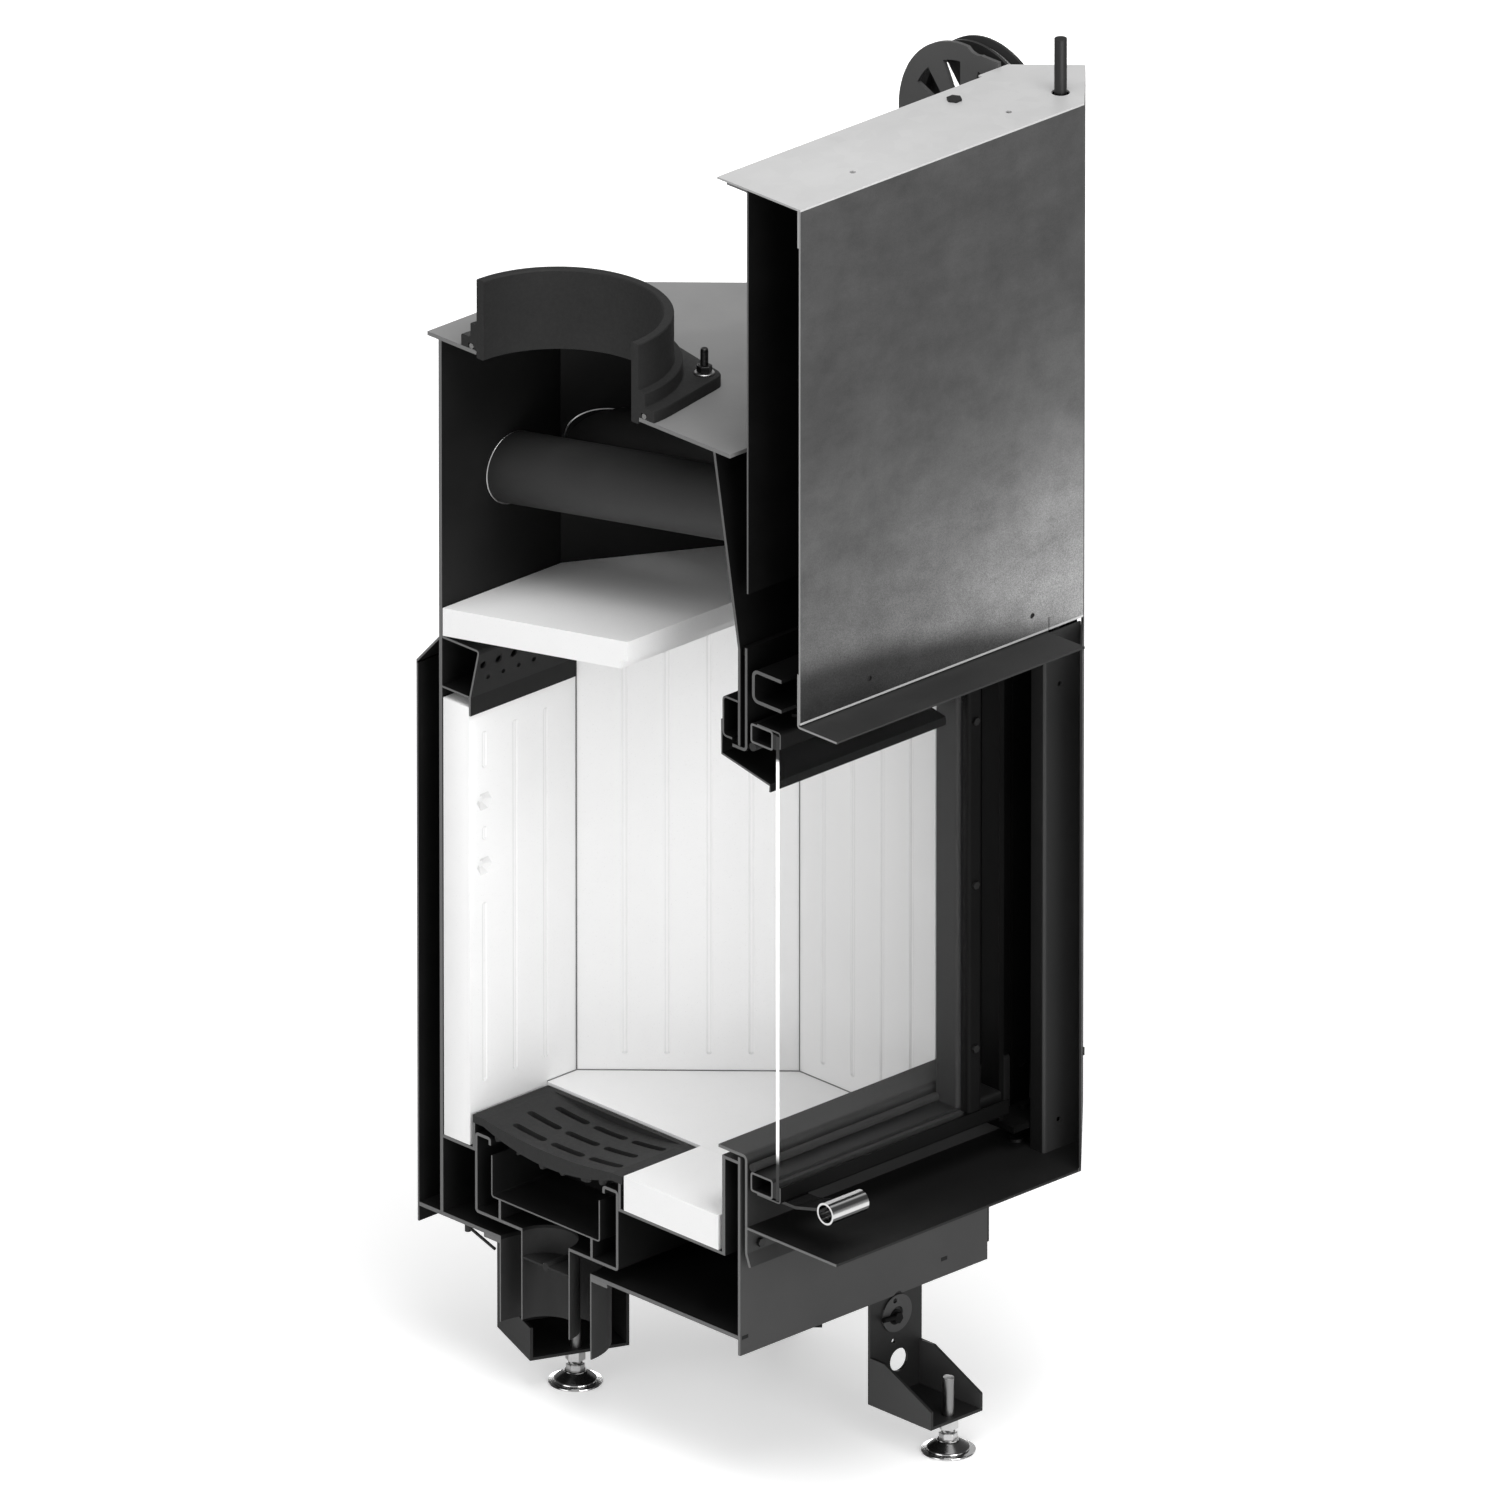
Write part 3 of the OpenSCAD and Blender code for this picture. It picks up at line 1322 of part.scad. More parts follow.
// Lift carriage: a channel over the door, an upright and two arms round the guide rod
bush_r = 10;
bush_l = 24;
low_arm_drop = 18.5;      // lower arm below the door frame
low_arm_z = door_z - low_arm_drop;
module lift_carriage() {
    t = 3.5;
    beam_gap_y = 2;
    beam_d = 39.5;
    beam_bend = 6;
    post_t = 6;
    post_in = 3;
    lug = bush_r + 4;
    arm_d = 26;
    arm_back = rod_y + arm_d;
    eye = 8;
    socket_r = 4;
    socket_h = 7;
    stop_r = 5;
    stop_in = [40, 14];
    back = rail_y - beam_gap_y;
    front = back - beam_d;
    top = beam_z + beam_h;
    nose = [[door_w, rod_y - lug], [rod_x + lug / 2, rod_y - lug],
            [rod_x + lug, rod_y - lug / 2]];
    color(iron) {
        section_sheet([[front, top - t / 2], [back - t / 2, top - t / 2],
                       [back - t / 2, beam_z + t / 2], [front, beam_z + t / 2]], t, beam_bend,
                      0, rod_x - bush_r - post_in);
        difference() {
            union() {
                plan(concat(nose, [
                    [wheel_x + eye, cable_front_y - eye], [wheel_x + eye, cable_front_y],
                    [wheel_x, cable_front_y + eye], [wheel_x - eye, cable_front_y + eye],
                    [rod_x - bush_r, arm_back], [door_w, arm_back]]), arm_z, arm_t);
                plan(concat(nose, [[rod_x + lug, arm_back], [door_w, arm_back]]), low_arm_z,
                     arm_t);
            }
            for (z = [arm_z, low_arm_z])
                bar_z(rod_x, rod_y, z - over, bush_r + run_gap, arm_t + 2 * over);
            bar_z(wheel_x, cable_front_y, arm_z - over, cable_r + hole_gap, arm_t + 2 * over);
        }
        block(door_w, rail_front + post_in, low_arm_z + arm_t, post_t, rail_d - 2 * post_in,
              arm_z - low_arm_z - arm_t);
        bar_z(wheel_x, cable_front_y, arm_z - socket_h, socket_r, socket_h);
        bar_z(door_w + stop_in[0], rod_y + stop_in[1], low_arm_z + arm_t, stop_r, stop_r);
    }
}
module guide_bushes() {
    color(bright) for (z = [arm_z, low_arm_z]) {
        z0 = z + arm_t / 2 - bush_l / 2;
        difference() {
            bar_z(rod_x, rod_y, z0, bush_r, bush_l);
            bar_z(rod_x, rod_y, z0 - over, rod_r + run_gap, bush_l + 2 * over);
        }
    }
}

// Door frame of square tubes, with glass, cover strips, seals and handle
rail_r = 3;
module tube_rail(z0) {
    w = rail_wall;
    rotate([90, 0, 90]) linear_extrude(door_w) difference() {
        polygon(round_box(rail_front, z0, rail_y, z0 + rail_h, rail_r));
        polygon(round_box(rail_front + w, z0 + w, rail_y - w, z0 + rail_h - w, rail_r / 2));
    }
}
module door_rails() {
    color(iron) {
        tube_rail(door_z);
        tube_rail(door_top - rail_h);
    }
}
module door_stile() {
    w = rail_wall;
    color(iron) translate([0, 0, door_z + rail_h]) linear_extrude(door_h - 2 * rail_h)
        difference() {
            polygon(round_box(stile_x, rail_front, stile_x + stile_w, rail_y, rail_r));
            polygon(round_box(stile_x + w, rail_front + w, stile_x + stile_w - w, rail_y - w,
                              rail_r / 2));
        }
}
glass_low_gap = 1;           // glass above the frame's underside
glass_top_gap = 3;           // glass below the frame's top
module door_glass() {
    color(glass_clear) block(0, glass_front, door_z + glass_low_gap, glass_w, glass_t,
                             door_h - glass_low_gap - glass_top_gap);
}
module glass_strips() {
    t = strip_t;
    y = strip_front + t / 2;
    top = door_top + t / 2;
    low = door_z - t / 2;
    lap = 9;
    back = rail_y - lap;
    cover = 16;
    side_z = low + cover + t / 2 + weld_gap;
    x = glass_w + 1.5 * t;
    color(black_sheet) {
        section_sheet([[back, top], [y, top], [y, top - cover]], t, skin_bend, 0,
                      door_w - weld_gap);
        section_sheet([[back, low], [y, low], [y, low + cover]], t, skin_bend, 0,
                      door_w - weld_gap);
        plan_sheet([[x, rail_front], [x, y], [x + cover, y], [x + cover, rail_front]],
                   t, skin_bend, side_z, top - cover - weld_gap - side_z);
    }
}
module door_screws() {
    head_t = 3;
    head_af = 7;
    side_shares = [0.17, 0.52, 0.87];
    top_shares = [0.13, 0.53];
    color(iron) {
        for (share = side_shares)
            hex_y(glass_w + strip_t + small_af, strip_front - head_t, door_z + share * door_h,
                  head_af, head_t);
        for (share = top_shares)
            hex_z(share * door_w, rail_y - rail_h, door_top + strip_t, head_af, head_t);
    }
}
module door_seal() {
    seal_in = 2.5;
    tape_in = 2.5;
    y = rail_y - seal_in;
    color(rope_grey) {
        for (z = [door_z + rail_h + seal_r, door_top - rail_h - seal_r])
            bar_x(0, y, z, seal_r, stile_x - weld_gap);
        for (z = [door_z + tape_in, door_top - rail_h + tape_in])
            block(0, glass_back, z, glass_w, tape_t, rail_h - 2 * tape_in);
    }
}
module door_handle() {
    handle_out = 15;
    handle_rise = 8.2;
    tube_t = 2;
    plate_in = 8;
    plate_w = 30;
    under = 11;
    reach = 12;
    t = 3;
    y = shelf_y + handle_out;
    z = door_z + handle_rise;
    low = door_z - strip_t - weld_gap / 2 - t / 2;
    color(bright) {
        difference() {
            bar_x(0, y, z, handle_r, handle_len);
            bar_x(-over, y, z, handle_r - tube_t, handle_len + 2 * over);
        }
        section_sheet([[rail_y - under, low], [strip_front - reach, low],
                       [y + handle_r - tube_t / 2, z - t / 2]], t, bend_r, plate_in, plate_w);
    }
}

// The part's own frame has the middle of its footprint at the origin
module place() {
    translate([-hood_x / 2, -(shelf_y + body_d + roof_reach) / 2, 0]) children();
}

place() rear_jacket();
place() rear_wall();
place() angled_wall();
place() side_wall();
place() top_plate();
place() floor_plate();
place() front_apron();
place() sill_sheet();
place() side_frame_sheet();
place() inner_front_wall();
place() lintel_sheet();
place() lintel_box();
place() air_wash_deflector();
place() flue_collar();
place() collar_fasteners();
place() exchanger_tubes();
place() secondary_air_duct();
place() baffle_plate();
place() back_lining();
place() angled_lining();
place() side_lining();
place() hearth_lining();
place() front_lining();
place() lining_tray();
place() ash_box();
place() air_spigot();
place() primary_air_pipe();
place() damper_control_rod();
place() hood_front_panel();
place() hood_top_plate();
place() hood_rear_wall();
place() hood_lip();
place() corner_plate();
place() side_cheek();
place() jamb_plate();
place() guide_channel();
place() door_shelf();
place() guide_rod();
place() pulley_bracket();
place() pulley_axle();
place() counterweight_channel();
place() casing_screws();
place() foot_brackets();
place() levelling_feet();
place() grate();
place() ash_pan();
place() damper_flap();
place() pulley_wheel();
place() lift_cable_front();
place() lift_cable_rear();
place() counterweight();
place() lift_carriage();
place() guide_bushes();
place() door_rails();
place() door_stile();
place() door_glass();
place() glass_strips();
place() door_screws();
place() door_seal();
place() door_handle();
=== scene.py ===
import bpy, bmesh, json, math
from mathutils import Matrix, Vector


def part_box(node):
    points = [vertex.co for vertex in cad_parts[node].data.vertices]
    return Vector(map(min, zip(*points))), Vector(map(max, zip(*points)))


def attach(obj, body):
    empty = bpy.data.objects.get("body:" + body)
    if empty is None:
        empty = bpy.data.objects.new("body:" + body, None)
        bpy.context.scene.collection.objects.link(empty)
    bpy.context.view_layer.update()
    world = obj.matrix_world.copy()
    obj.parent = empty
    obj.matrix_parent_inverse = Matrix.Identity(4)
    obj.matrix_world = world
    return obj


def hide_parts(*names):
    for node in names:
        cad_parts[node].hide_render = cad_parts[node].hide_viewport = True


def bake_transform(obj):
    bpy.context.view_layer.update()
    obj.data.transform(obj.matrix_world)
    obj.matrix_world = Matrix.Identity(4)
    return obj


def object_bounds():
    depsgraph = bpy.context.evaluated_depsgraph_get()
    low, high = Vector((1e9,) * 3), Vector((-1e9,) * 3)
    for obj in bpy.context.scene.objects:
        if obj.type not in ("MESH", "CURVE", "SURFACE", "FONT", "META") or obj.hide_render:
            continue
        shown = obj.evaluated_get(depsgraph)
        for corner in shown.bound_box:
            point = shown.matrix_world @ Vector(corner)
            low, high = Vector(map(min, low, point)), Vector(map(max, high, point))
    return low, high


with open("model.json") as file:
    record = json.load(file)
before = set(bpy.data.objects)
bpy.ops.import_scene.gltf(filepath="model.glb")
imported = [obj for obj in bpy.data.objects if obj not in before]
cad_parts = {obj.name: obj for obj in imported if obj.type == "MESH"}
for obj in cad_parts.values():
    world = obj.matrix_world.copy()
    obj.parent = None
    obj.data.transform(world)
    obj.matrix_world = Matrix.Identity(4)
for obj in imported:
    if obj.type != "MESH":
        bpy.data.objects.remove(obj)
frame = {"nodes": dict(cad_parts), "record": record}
cad_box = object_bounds()
nodes = frame["nodes"]

# Places in metres by which the materials tell one face of a node from another
CUT_X = cad_box[0][0]
FRONT_Y, LIP_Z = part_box("hood_front_panel")[0][1:3]
FOOT_PLATE_Y = -0.15
FOOT_DISC_Y = -0.1538
HANDLE_STRAP_Y = -0.2585
GLASS_LOW, GLASS_HIGH = 0.352, 0.770

# Texture scales in repeats per metre, and the depth in metres of a paint's or a zinc coat's bump
PATCHES, SPECKS, PEEL = 9.0, 420.0, 900.0
ALONG_X, ALONG_Z = (40.0, 900.0, 900.0), (900.0, 900.0, 60.0)
SKIN = 0.0003


class S:
    """A shader socket that can be added, multiplied and compared."""

    def __init__(self, graph, out):
        self.graph, self.out = graph, out

    def _math(self, op, *values):
        return self.graph.node("Math", {"operation": op}, list(values))

    def __add__(self, o): return self._math("ADD", self, o)
    def __radd__(self, o): return self._math("ADD", o, self)
    def __sub__(self, o): return self._math("SUBTRACT", self, o)
    def __rsub__(self, o): return self._math("SUBTRACT", o, self)
    def __mul__(self, o): return self._math("MULTIPLY", self, o)
    def __lt__(self, o): return self._math("LESS_THAN", self, o)
    def __gt__(self, o): return self._math("GREATER_THAN", self, o)
    def abs(self): return self._math("ABSOLUTE", self)
    def sine(self): return self._math("SINE", self)
    def max(self, o): return self._math("MAXIMUM", self, o)
    def min(self, o): return self._math("MINIMUM", self, o)

    def ramp(self, a, b):
        """0 below a, 1 above b, smooth between."""
        return self.graph.node("MapRange", {"interpolation_type": "SMOOTHSTEP"},
                               [self, a, b, 0.0, 1.0])

    def near(self, middle, full, none):
        """1 within full of the middle, 0 beyond none of it, smooth between."""
        return 1.0 - (self - middle).abs().ramp(full, none)


class Graph:
    """A material's node tree: node() makes any shader node from its settings and inputs."""

    def __init__(self, name):
        self.mat = bpy.data.materials.new(name)
        self.mat.use_nodes = True
        self.tree = self.mat.node_tree
        self.bsdf = self.tree.nodes["Principled BSDF"]
        self.pos = self.node("TexCoord", {}, [], "Object")

    def node(self, kind, settings, values, out=0):
        n = self.tree.nodes.new("ShaderNode" + kind)
        for k, v in settings.items():
            setattr(n, k, v)
        pairs = values.items() if isinstance(values, dict) else enumerate(values)
        for k, v in pairs:
            self.put(n.inputs[k], v)
        return S(self, n.outputs[out])

    def put(self, socket, v):
        if isinstance(v, S):
            self.tree.links.new(v.out, socket)
        else:
            socket.default_value = v

    def axis(self, k):
        """The place along one axis, in metres."""
        return self.node("SeparateXYZ", {}, [self.pos], k)

    def normal(self, k):
        """How far the face is turned to one axis, from -1 to 1."""
        return self.node("SeparateXYZ", {}, [self.node("TexCoord", {}, [], "Normal")], k)

    def stretched(self, scales):
        return self.node("VectorMath", {"operation": "MULTIPLY"}, [self.pos, scales])

    def noise(self, scale, detail, rough):
        """Clouds; three scales instead of one stretch them along the axes."""
        if isinstance(scale, tuple):
            place, scale = self.stretched(scale), 1.0
        else:
            place = self.pos
        return self.node("TexNoise", {}, {"Vector": place, "Scale": scale, "Detail": detail,
                                          "Roughness": rough}, "Fac")

    def cells(self, scale, out="Distance"):
        return self.node("TexVoronoi", {}, {"Vector": self.pos, "Scale": scale}, out)

    def mix(self, f, a, b):
        n = self.tree.nodes.new("ShaderNodeMix")
        n.data_type = "RGBA"
        for k, v in ((0, f), (6, a), (7, b)):
            self.put(n.inputs[k], v if isinstance(v, (S, float, int)) else (*v, 1.0))
        return S(self, n.outputs[2])

    def bump(self, height, strength, distance=SKIN):
        return self.node("Bump", {}, {"Strength": strength, "Distance": distance,
                                      "Height": height})

    def cut(self):
        """1 on the faces that the cut plane left."""
        return self.axis(0) < CUT_X + 0.00012

    def turned_away(self):
        """1 where a face is turned from the board's own planes, as in grooves and on rims."""
        nx, ny, nz = (self.normal(k) for k in range(3))
        flat = nx.abs().max(ny.abs()).max(nz.abs()).max((nx + ny).abs() * math.sqrt(0.5))
        return 1.0 - flat.ramp(0.90, 0.995)

    def done(self, **values):
        for k, v in values.items():
            k = k.replace("_", " ")
            self.put(self.bsdf.inputs[k], (*v, 1.0) if isinstance(v, tuple) else v)
        return self.mat


def grey(v, warm=0.0):
    return (v * (1 + warm), v, v * (1 - warm))


def painted(name, tone, rough, cut_tone, dust=0.3, grain=PEEL, sheen=0.3):
    """Powder-coated sheet: orange-peel bump, dusty patches, bare metal on the cut."""
    g = Graph(name)
    cloud = g.noise(PATCHES, 5.0, 0.6).ramp(0.35, 0.75)
    fine = g.noise(grain, 2.0, 0.6)
    specks = g.noise(SPECKS, 2.0, 0.8).ramp(0.66, 0.8)
    base = g.mix(cloud * dust, grey(tone), grey(tone * 1.55 + 0.006, 0.01))
    base = g.mix(specks * 0.25, base, grey(tone * 2.2 + 0.012))
    brushed = g.noise((60.0, 900.0, 900.0), 3.0, 0.6)
    bare = g.mix(brushed, grey(cut_tone * 0.82), grey(cut_tone * 1.18))
    cut = g.cut()
    return g.done(Base_Color=g.mix(cut, base, bare),
                  Roughness=rough + cloud * 0.1 + fine * 0.08 - cut * 0.05,
                  Metallic=cut * 0.35, Specular_IOR_Level=sheen,
                  Normal=g.bump(fine, 0.12))


def galvanised(name, tone, mottle):
    """Hot-dip zinc, rolled smooth: faint spangle, long smears, fine speckle."""
    g = Graph(name)
    crystal = g.node("SeparateColor", {}, [g.cells(60.0, "Color")], 0)
    cloud = g.noise(7.0, 6.0, 0.62)
    smear = g.noise((5.0, 22.0, 5.0), 4.0, 0.6)
    speck = g.noise(PEEL, 2.0, 0.7)
    shade = 0.80 + ((crystal - 0.5) * 0.08 + (cloud - 0.5) * 0.35 + (smear - 0.5) * 0.22
                    + (speck - 0.5) * 0.14) * mottle
    base = g.mix(shade.max(0.0).min(1.2), grey(tone * 0.4), grey(tone * 1.12, 0.001))
    return g.done(Base_Color=g.mix(g.cut(), base, grey(0.42)),
                  Roughness=0.42 + (cloud - 0.5) * 0.25 + speck * 0.05,
                  Metallic=0.4, Normal=g.bump(crystal * 0.2 + speck * 0.8, 0.08))


def zinc_front(name):
    """The hood's front: dark mottled zinc with a painted sheen of reflected light low down,
    painted light over its lower part, painted shade in a soft strip above the lip, a painted
    highlight along its bottom fold, and near black behind its front face.
    """
    g = Graph(name)
    x, z = g.axis(0) - CUT_X, g.axis(2)
    cloud = g.noise(19.0, 7.0, 0.68)
    wisp = g.noise((16.0, 16.0, 42.0), 5.0, 0.65)
    wave = g.noise(4.0, 3.0, 0.5)
    grain = g.noise(1500.0, 2.0, 0.75)
    coarse = g.noise(620.0, 3.0, 0.8)
    worm = g.noise(150.0, 4.0, 0.7)
    # Painted reflection: a pale sheen low down, growing towards the right
    low = 1.0 - (z + (wave - 0.5) * 0.10 - x * 0.12).ramp(0.80, 1.03)
    sheen = low * (0.075 + (x + (wave - 0.5) * 0.12).ramp(0.04, 0.42) * 0.66)
    # Painted light: the lower part of the panel is lighter
    painted_mid_light = (1.0 - (z - x * 0.25).ramp(0.92, 1.12)) * 0.14
    tone = (0.061 + sheen * 0.33 + painted_mid_light * 0.3) * (1.0 + (cloud - 0.5) * 1.1 + (wisp - 0.5) * 0.5)
    speckle = 1.0 + ((grain - 0.5) * 1.6 + (coarse - 0.5) * 1.4) * (0.35 + low * 0.85)
    # Painted shade: a soft strip just above the lip is darker
    painted_shade_top = LIP_Z + 0.050 - x * x * 0.52 + (wave - 0.5) * 0.012
    painted_shade_band = 1.0 - (z - painted_shade_top).ramp(-0.014, 0.020)
    tone = (tone * speckle * (1.0 - painted_shade_band * 0.72)).max(0.012).min(0.7)
    # Painted highlight: a bright line along the panel's bottom fold
    painted_hem_highlight = z < LIP_Z + 0.0022
    behind = g.axis(1) > FRONT_Y + 0.0012
    base = g.mix(tone, grey(0.0), grey(1.0))
    base = g.mix(painted_hem_highlight, base, grey(0.62))
    base = g.mix(behind * (1.0 - g.cut()), base, grey(0.02))
    return g.done(Base_Color=g.mix(g.cut(), base, grey(0.30)),
                  Roughness=0.50 + (cloud - 0.5) * 0.3 + (grain - 0.5) * 0.1,
                  Metallic=0.25, Specular_IOR_Level=0.35,
                  Normal=g.bump(grain * 0.5 + coarse * 0.3 + worm * 0.2, 0.16))


def jamb_paint(name):
    """Black sheet painted paler on its flat front as painted light, and near black on its bent
    leg as painted shade.
    """
    g = Graph(name)
    leg = g.axis(1) > FRONT_Y + 0.0022
    fine = g.noise(PEEL, 2.0, 0.6)
    # Painted light on the flat front, painted shade on the bent leg
    base = g.mix(leg, grey(0.045), grey(0.0035))
    base = g.mix(g.noise(PATCHES, 5.0, 0.6) * 0.3, base, grey(0.016))
    return g.done(Base_Color=base, Roughness=0.5 + fine * 0.08, Specular_IOR_Level=0.3,
                  Normal=g.bump(fine, 0.12))


def bracket_paint(name):
    """Black sheet; the front foot's outer gusset faces are painted paler as painted light, where
    the light falls on them, and its disc face is a paler grey.
    """
    g = Graph(name)
    y = g.axis(1)
    # Painted light: the front foot's gusset faces that face left are paler
    gusset = (g.normal(0) < -0.9) * (y < FOOT_PLATE_Y)
    disc = (g.normal(1) < -0.9) * (y < FOOT_DISC_Y + 0.0008) * (y > FOOT_DISC_Y - 0.0008)
    fine = g.noise(PEEL, 2.0, 0.6)
    base = g.mix(gusset, g.mix(disc, grey(0.010), grey(0.050)), grey(0.062))
    base = g.mix(g.noise(PATCHES, 5.0, 0.6) * 0.35, base, grey(0.022))
    return g.done(Base_Color=g.mix(g.cut(), base, grey(0.15)), Roughness=0.5 + fine * 0.08,
                  Specular_IOR_Level=0.3, Normal=g.bump(fine, 0.12))


def cast(name, tone, cut_tone):
    """Sand-cast iron: pitted, matt, a little lighter where it is cut through."""
    g = Graph(name)
    coarse = g.noise(260.0, 5.0, 0.7)
    pits = g.cells(520.0).ramp(0.05, 0.35)
    cloud = g.noise(18.0, 4.0, 0.6).ramp(0.3, 0.75)
    cut = g.cut()
    base = g.mix(cloud * 0.6, grey(tone), grey(tone * 1.7, 0.01))
    base = g.mix((coarse > 0.66) * 0.3, base, grey(tone * 2.4))
    return g.done(Base_Color=g.mix(cut, base, grey(cut_tone)),
                  Roughness=0.62 + coarse * 0.25, Metallic=cut * 0.3,
                  Normal=g.bump(coarse * 0.7 + pits * 0.3, 0.35, 0.0007))


def chrome(name, black_behind=None):
    """Polished plate with a painted reflection: its colour shows a pale room with black walls,
    picked by the way each face is turned.
    """
    g = Graph(name)
    nx, ny, nz = (g.normal(k) for k in range(3))
    # Painted reflection: faces turned these ways get the room's black walls, the others its pale
    # light
    lean, side = nz * 0.8 - ny * 0.6, nx * 0.7 + ny * 0.7
    dark = lean.near(0.30, 0.10, 0.22).max(lean.near(-0.35, 0.12, 0.25))
    dark = dark.max(side.near(-0.55, 0.05, 0.16))
    lines = g.noise((1400.0, 1400.0, 60.0), 3.0, 0.6)
    base = g.mix(dark * 0.9 + (lines - 0.5) * 0.12, grey(0.82, 0.002), grey(0.035))
    black = 0.0 if black_behind is None else g.axis(1) > black_behind
    return g.done(Base_Color=g.mix(black, base, grey(0.012)), Metallic=1.0 - black,
                  Roughness=0.10 + lines * 0.08, Normal=g.bump(lines, 0.03, 0.0001))


def steel(name, tone, rough, lay=ALONG_X):
    """Turned or drawn bright steel with fine lines along its lay."""
    g = Graph(name)
    lines = g.noise(lay, 4.0, 0.65)
    smear = g.noise(45.0, 3.0, 0.6).ramp(0.4, 0.8)
    base = g.mix(lines, grey(tone * 0.8), grey(tone * 1.1, 0.004))
    return g.done(Base_Color=base, Metallic=1.0, Roughness=rough + lines * 0.1 + smear * 0.08,
                  Normal=g.bump(lines, 0.05, 0.0002))


def lining(name):
    """Pressed pale insulating board with grains, pinholes and faint firing clouds, and painted
    shade in its grooves and on its rims.
    """
    g = Graph(name)
    grain = g.noise(1300.0, 3.0, 0.75)
    dots = g.noise(620.0, 2.0, 0.85).ramp(0.60, 0.74)
    cloud = g.noise(11.0, 5.0, 0.6)
    holes = 1.0 - g.cells(240.0).ramp(0.04, 0.12)
    base = g.mix(cloud, grey(0.90), grey(0.95, 0.002))
    base = g.mix(dots * 0.22, base, grey(0.62))
    base = g.mix(holes * 0.30, base, grey(0.55, 0.01))
    # Painted shade: grooves, rims and pocket walls, turned away from the board's planes, are
    # darkened
    base = g.mix(g.turned_away() * 0.30, base, grey(0.45, 0.004))
    return g.done(Base_Color=base, Roughness=0.93 + grain * 0.05,
                  Normal=g.bump(grain * 0.7 + cloud * 0.3 - holes, 0.28, 0.0006))


def rope(name, tone):
    """Woven glass-fibre rope: two crossing sets of strands."""
    g = Graph(name)
    strands = 1900.0
    x, y, z = (g.axis(k) for k in range(3))
    weave = ((x + y + z) * strands).sine() * ((x - y - z) * strands).sine()
    fluff = g.noise(1600.0, 3.0, 0.7)
    base = g.mix(weave * 0.5 + 0.5, grey(tone * 0.4), grey(tone * 1.5, 0.01))
    return g.done(Base_Color=g.mix(fluff * 0.4, base, grey(tone)), Roughness=0.9,
                  Normal=g.bump(weave + fluff * 0.5, 0.5, 0.0006))


def clear_glass(name):
    """Heat-proof glass: faint grey, gloss, and a painted glow on its cut face, a bright line that
    shines by itself, near black towards its ends.
    """
    g = Graph(name)
    cut, z = g.cut(), g.axis(2)
    smudge = g.noise(6.0, 4.0, 0.6).ramp(0.5, 0.8)
    # Painted glow: the cut face shines white between the glass's low and high edges
    painted_glow = (cut * z.ramp(GLASS_LOW, GLASS_LOW + 0.020)
           * (1.0 - z.ramp(GLASS_HIGH - 0.008, GLASS_HIGH)))
    ends = cut * (1.0 - painted_glow)
    return g.done(Base_Color=g.mix(ends, g.mix(cut, grey(0.02), grey(0.85)), grey(0.01)),
                  Alpha=0.06 + cut * 0.94, Roughness=0.03 + smudge * 0.04,
                  Emission_Color=g.mix(painted_glow, grey(0.0), grey(0.9)), Emission_Strength=1.0)


MATS = {
    "black_sheet": painted("black_sheet", tone=0.0050, rough=0.5, cut_tone=0.16, dust=0.4,
                           sheen=0.25),
    "satin_sheet": painted("satin_sheet", tone=0.026, rough=0.45, cut_tone=0.17, dust=0.4),
    "galvanised": galvanised("galvanised", tone=0.64, mottle=0.6),
    "cast_iron": cast("cast_iron", tone=0.0105, cut_tone=0.022),
    "black_steel": steel("black_steel", tone=0.05, rough=0.4),
    "bright_steel": chrome("bright_steel"),
    "cable_steel": steel("cable_steel", tone=0.6, rough=0.3, lay=ALONG_Z),
    "lining": lining("lining"),
    "glass": clear_glass("glass"),
    "rope": rope("rope", tone=0.022),
}
# A darker, duller copy of the black paint: painted shade for the sheets deep inside; the bracket
# screw uses it too
DEEP = painted("deep_black", tone=0.0022, rough=0.55, cut_tone=0.13, sheen=0.12)
DOOR = painted("door_paint", tone=0.0055, rough=0.5, cut_tone=0.17)
# Nodes whose finish differs from their slot's usual one; the sheets deep inside take the darker
# copy as painted shade, the hood's front, the jamb and the foot brackets carry painted light and
# shade in their colour, and the handle a painted reflection
OWN = {
    "hood_front_panel": zinc_front("zinc_front"),
    "top_plate": painted("top_paint", tone=0.228, rough=0.5, cut_tone=0.19, dust=0.25,
                         grain=1100.0, sheen=0.4),
    "pulley_bracket": painted("bracket_paint", tone=0.065, rough=0.5, cut_tone=0.1, sheen=0.4),
    "jamb_plate": jamb_paint("jamb_paint"),
    "foot_brackets": bracket_paint("bracket_black"),
    "door_handle": chrome("handle_chrome", HANDLE_STRAP_Y),
    "exchanger_tubes": painted("tube_paint", tone=0.016, rough=0.5, cut_tone=0.16, sheen=0.5),
    "front_apron": painted("apron_paint", tone=0.044, rough=0.5, cut_tone=0.17, dust=0.35),
    "hood_lip": painted("lip_paint", tone=0.020, rough=0.5, cut_tone=0.3, dust=0.35),
    **dict.fromkeys(("door_rails", "door_shelf", "side_cheek"), DOOR),
    **dict.fromkeys(("glass_strips", "side_frame_sheet", "guide_channel", "corner_plate",
                     "lintel_sheet", "lintel_box", "air_wash_deflector", "inner_front_wall",
                     "hood_rear_wall", "lift_carriage"), DEEP),
}
SHARP = math.radians(28)
slot_of = {s["node"]: s["material_slot"] for s in frame["record"]["subparts"]}
for name, obj in nodes.items():
    mesh = obj.data
    if not mesh.materials:
        mesh.materials.append(None)
    for k in range(len(mesh.materials)):
        mesh.materials[k] = OWN.get(name, MATS[slot_of[name]])
    mesh.shade_smooth()
    mesh.set_sharp_from_angle(angle=SHARP)

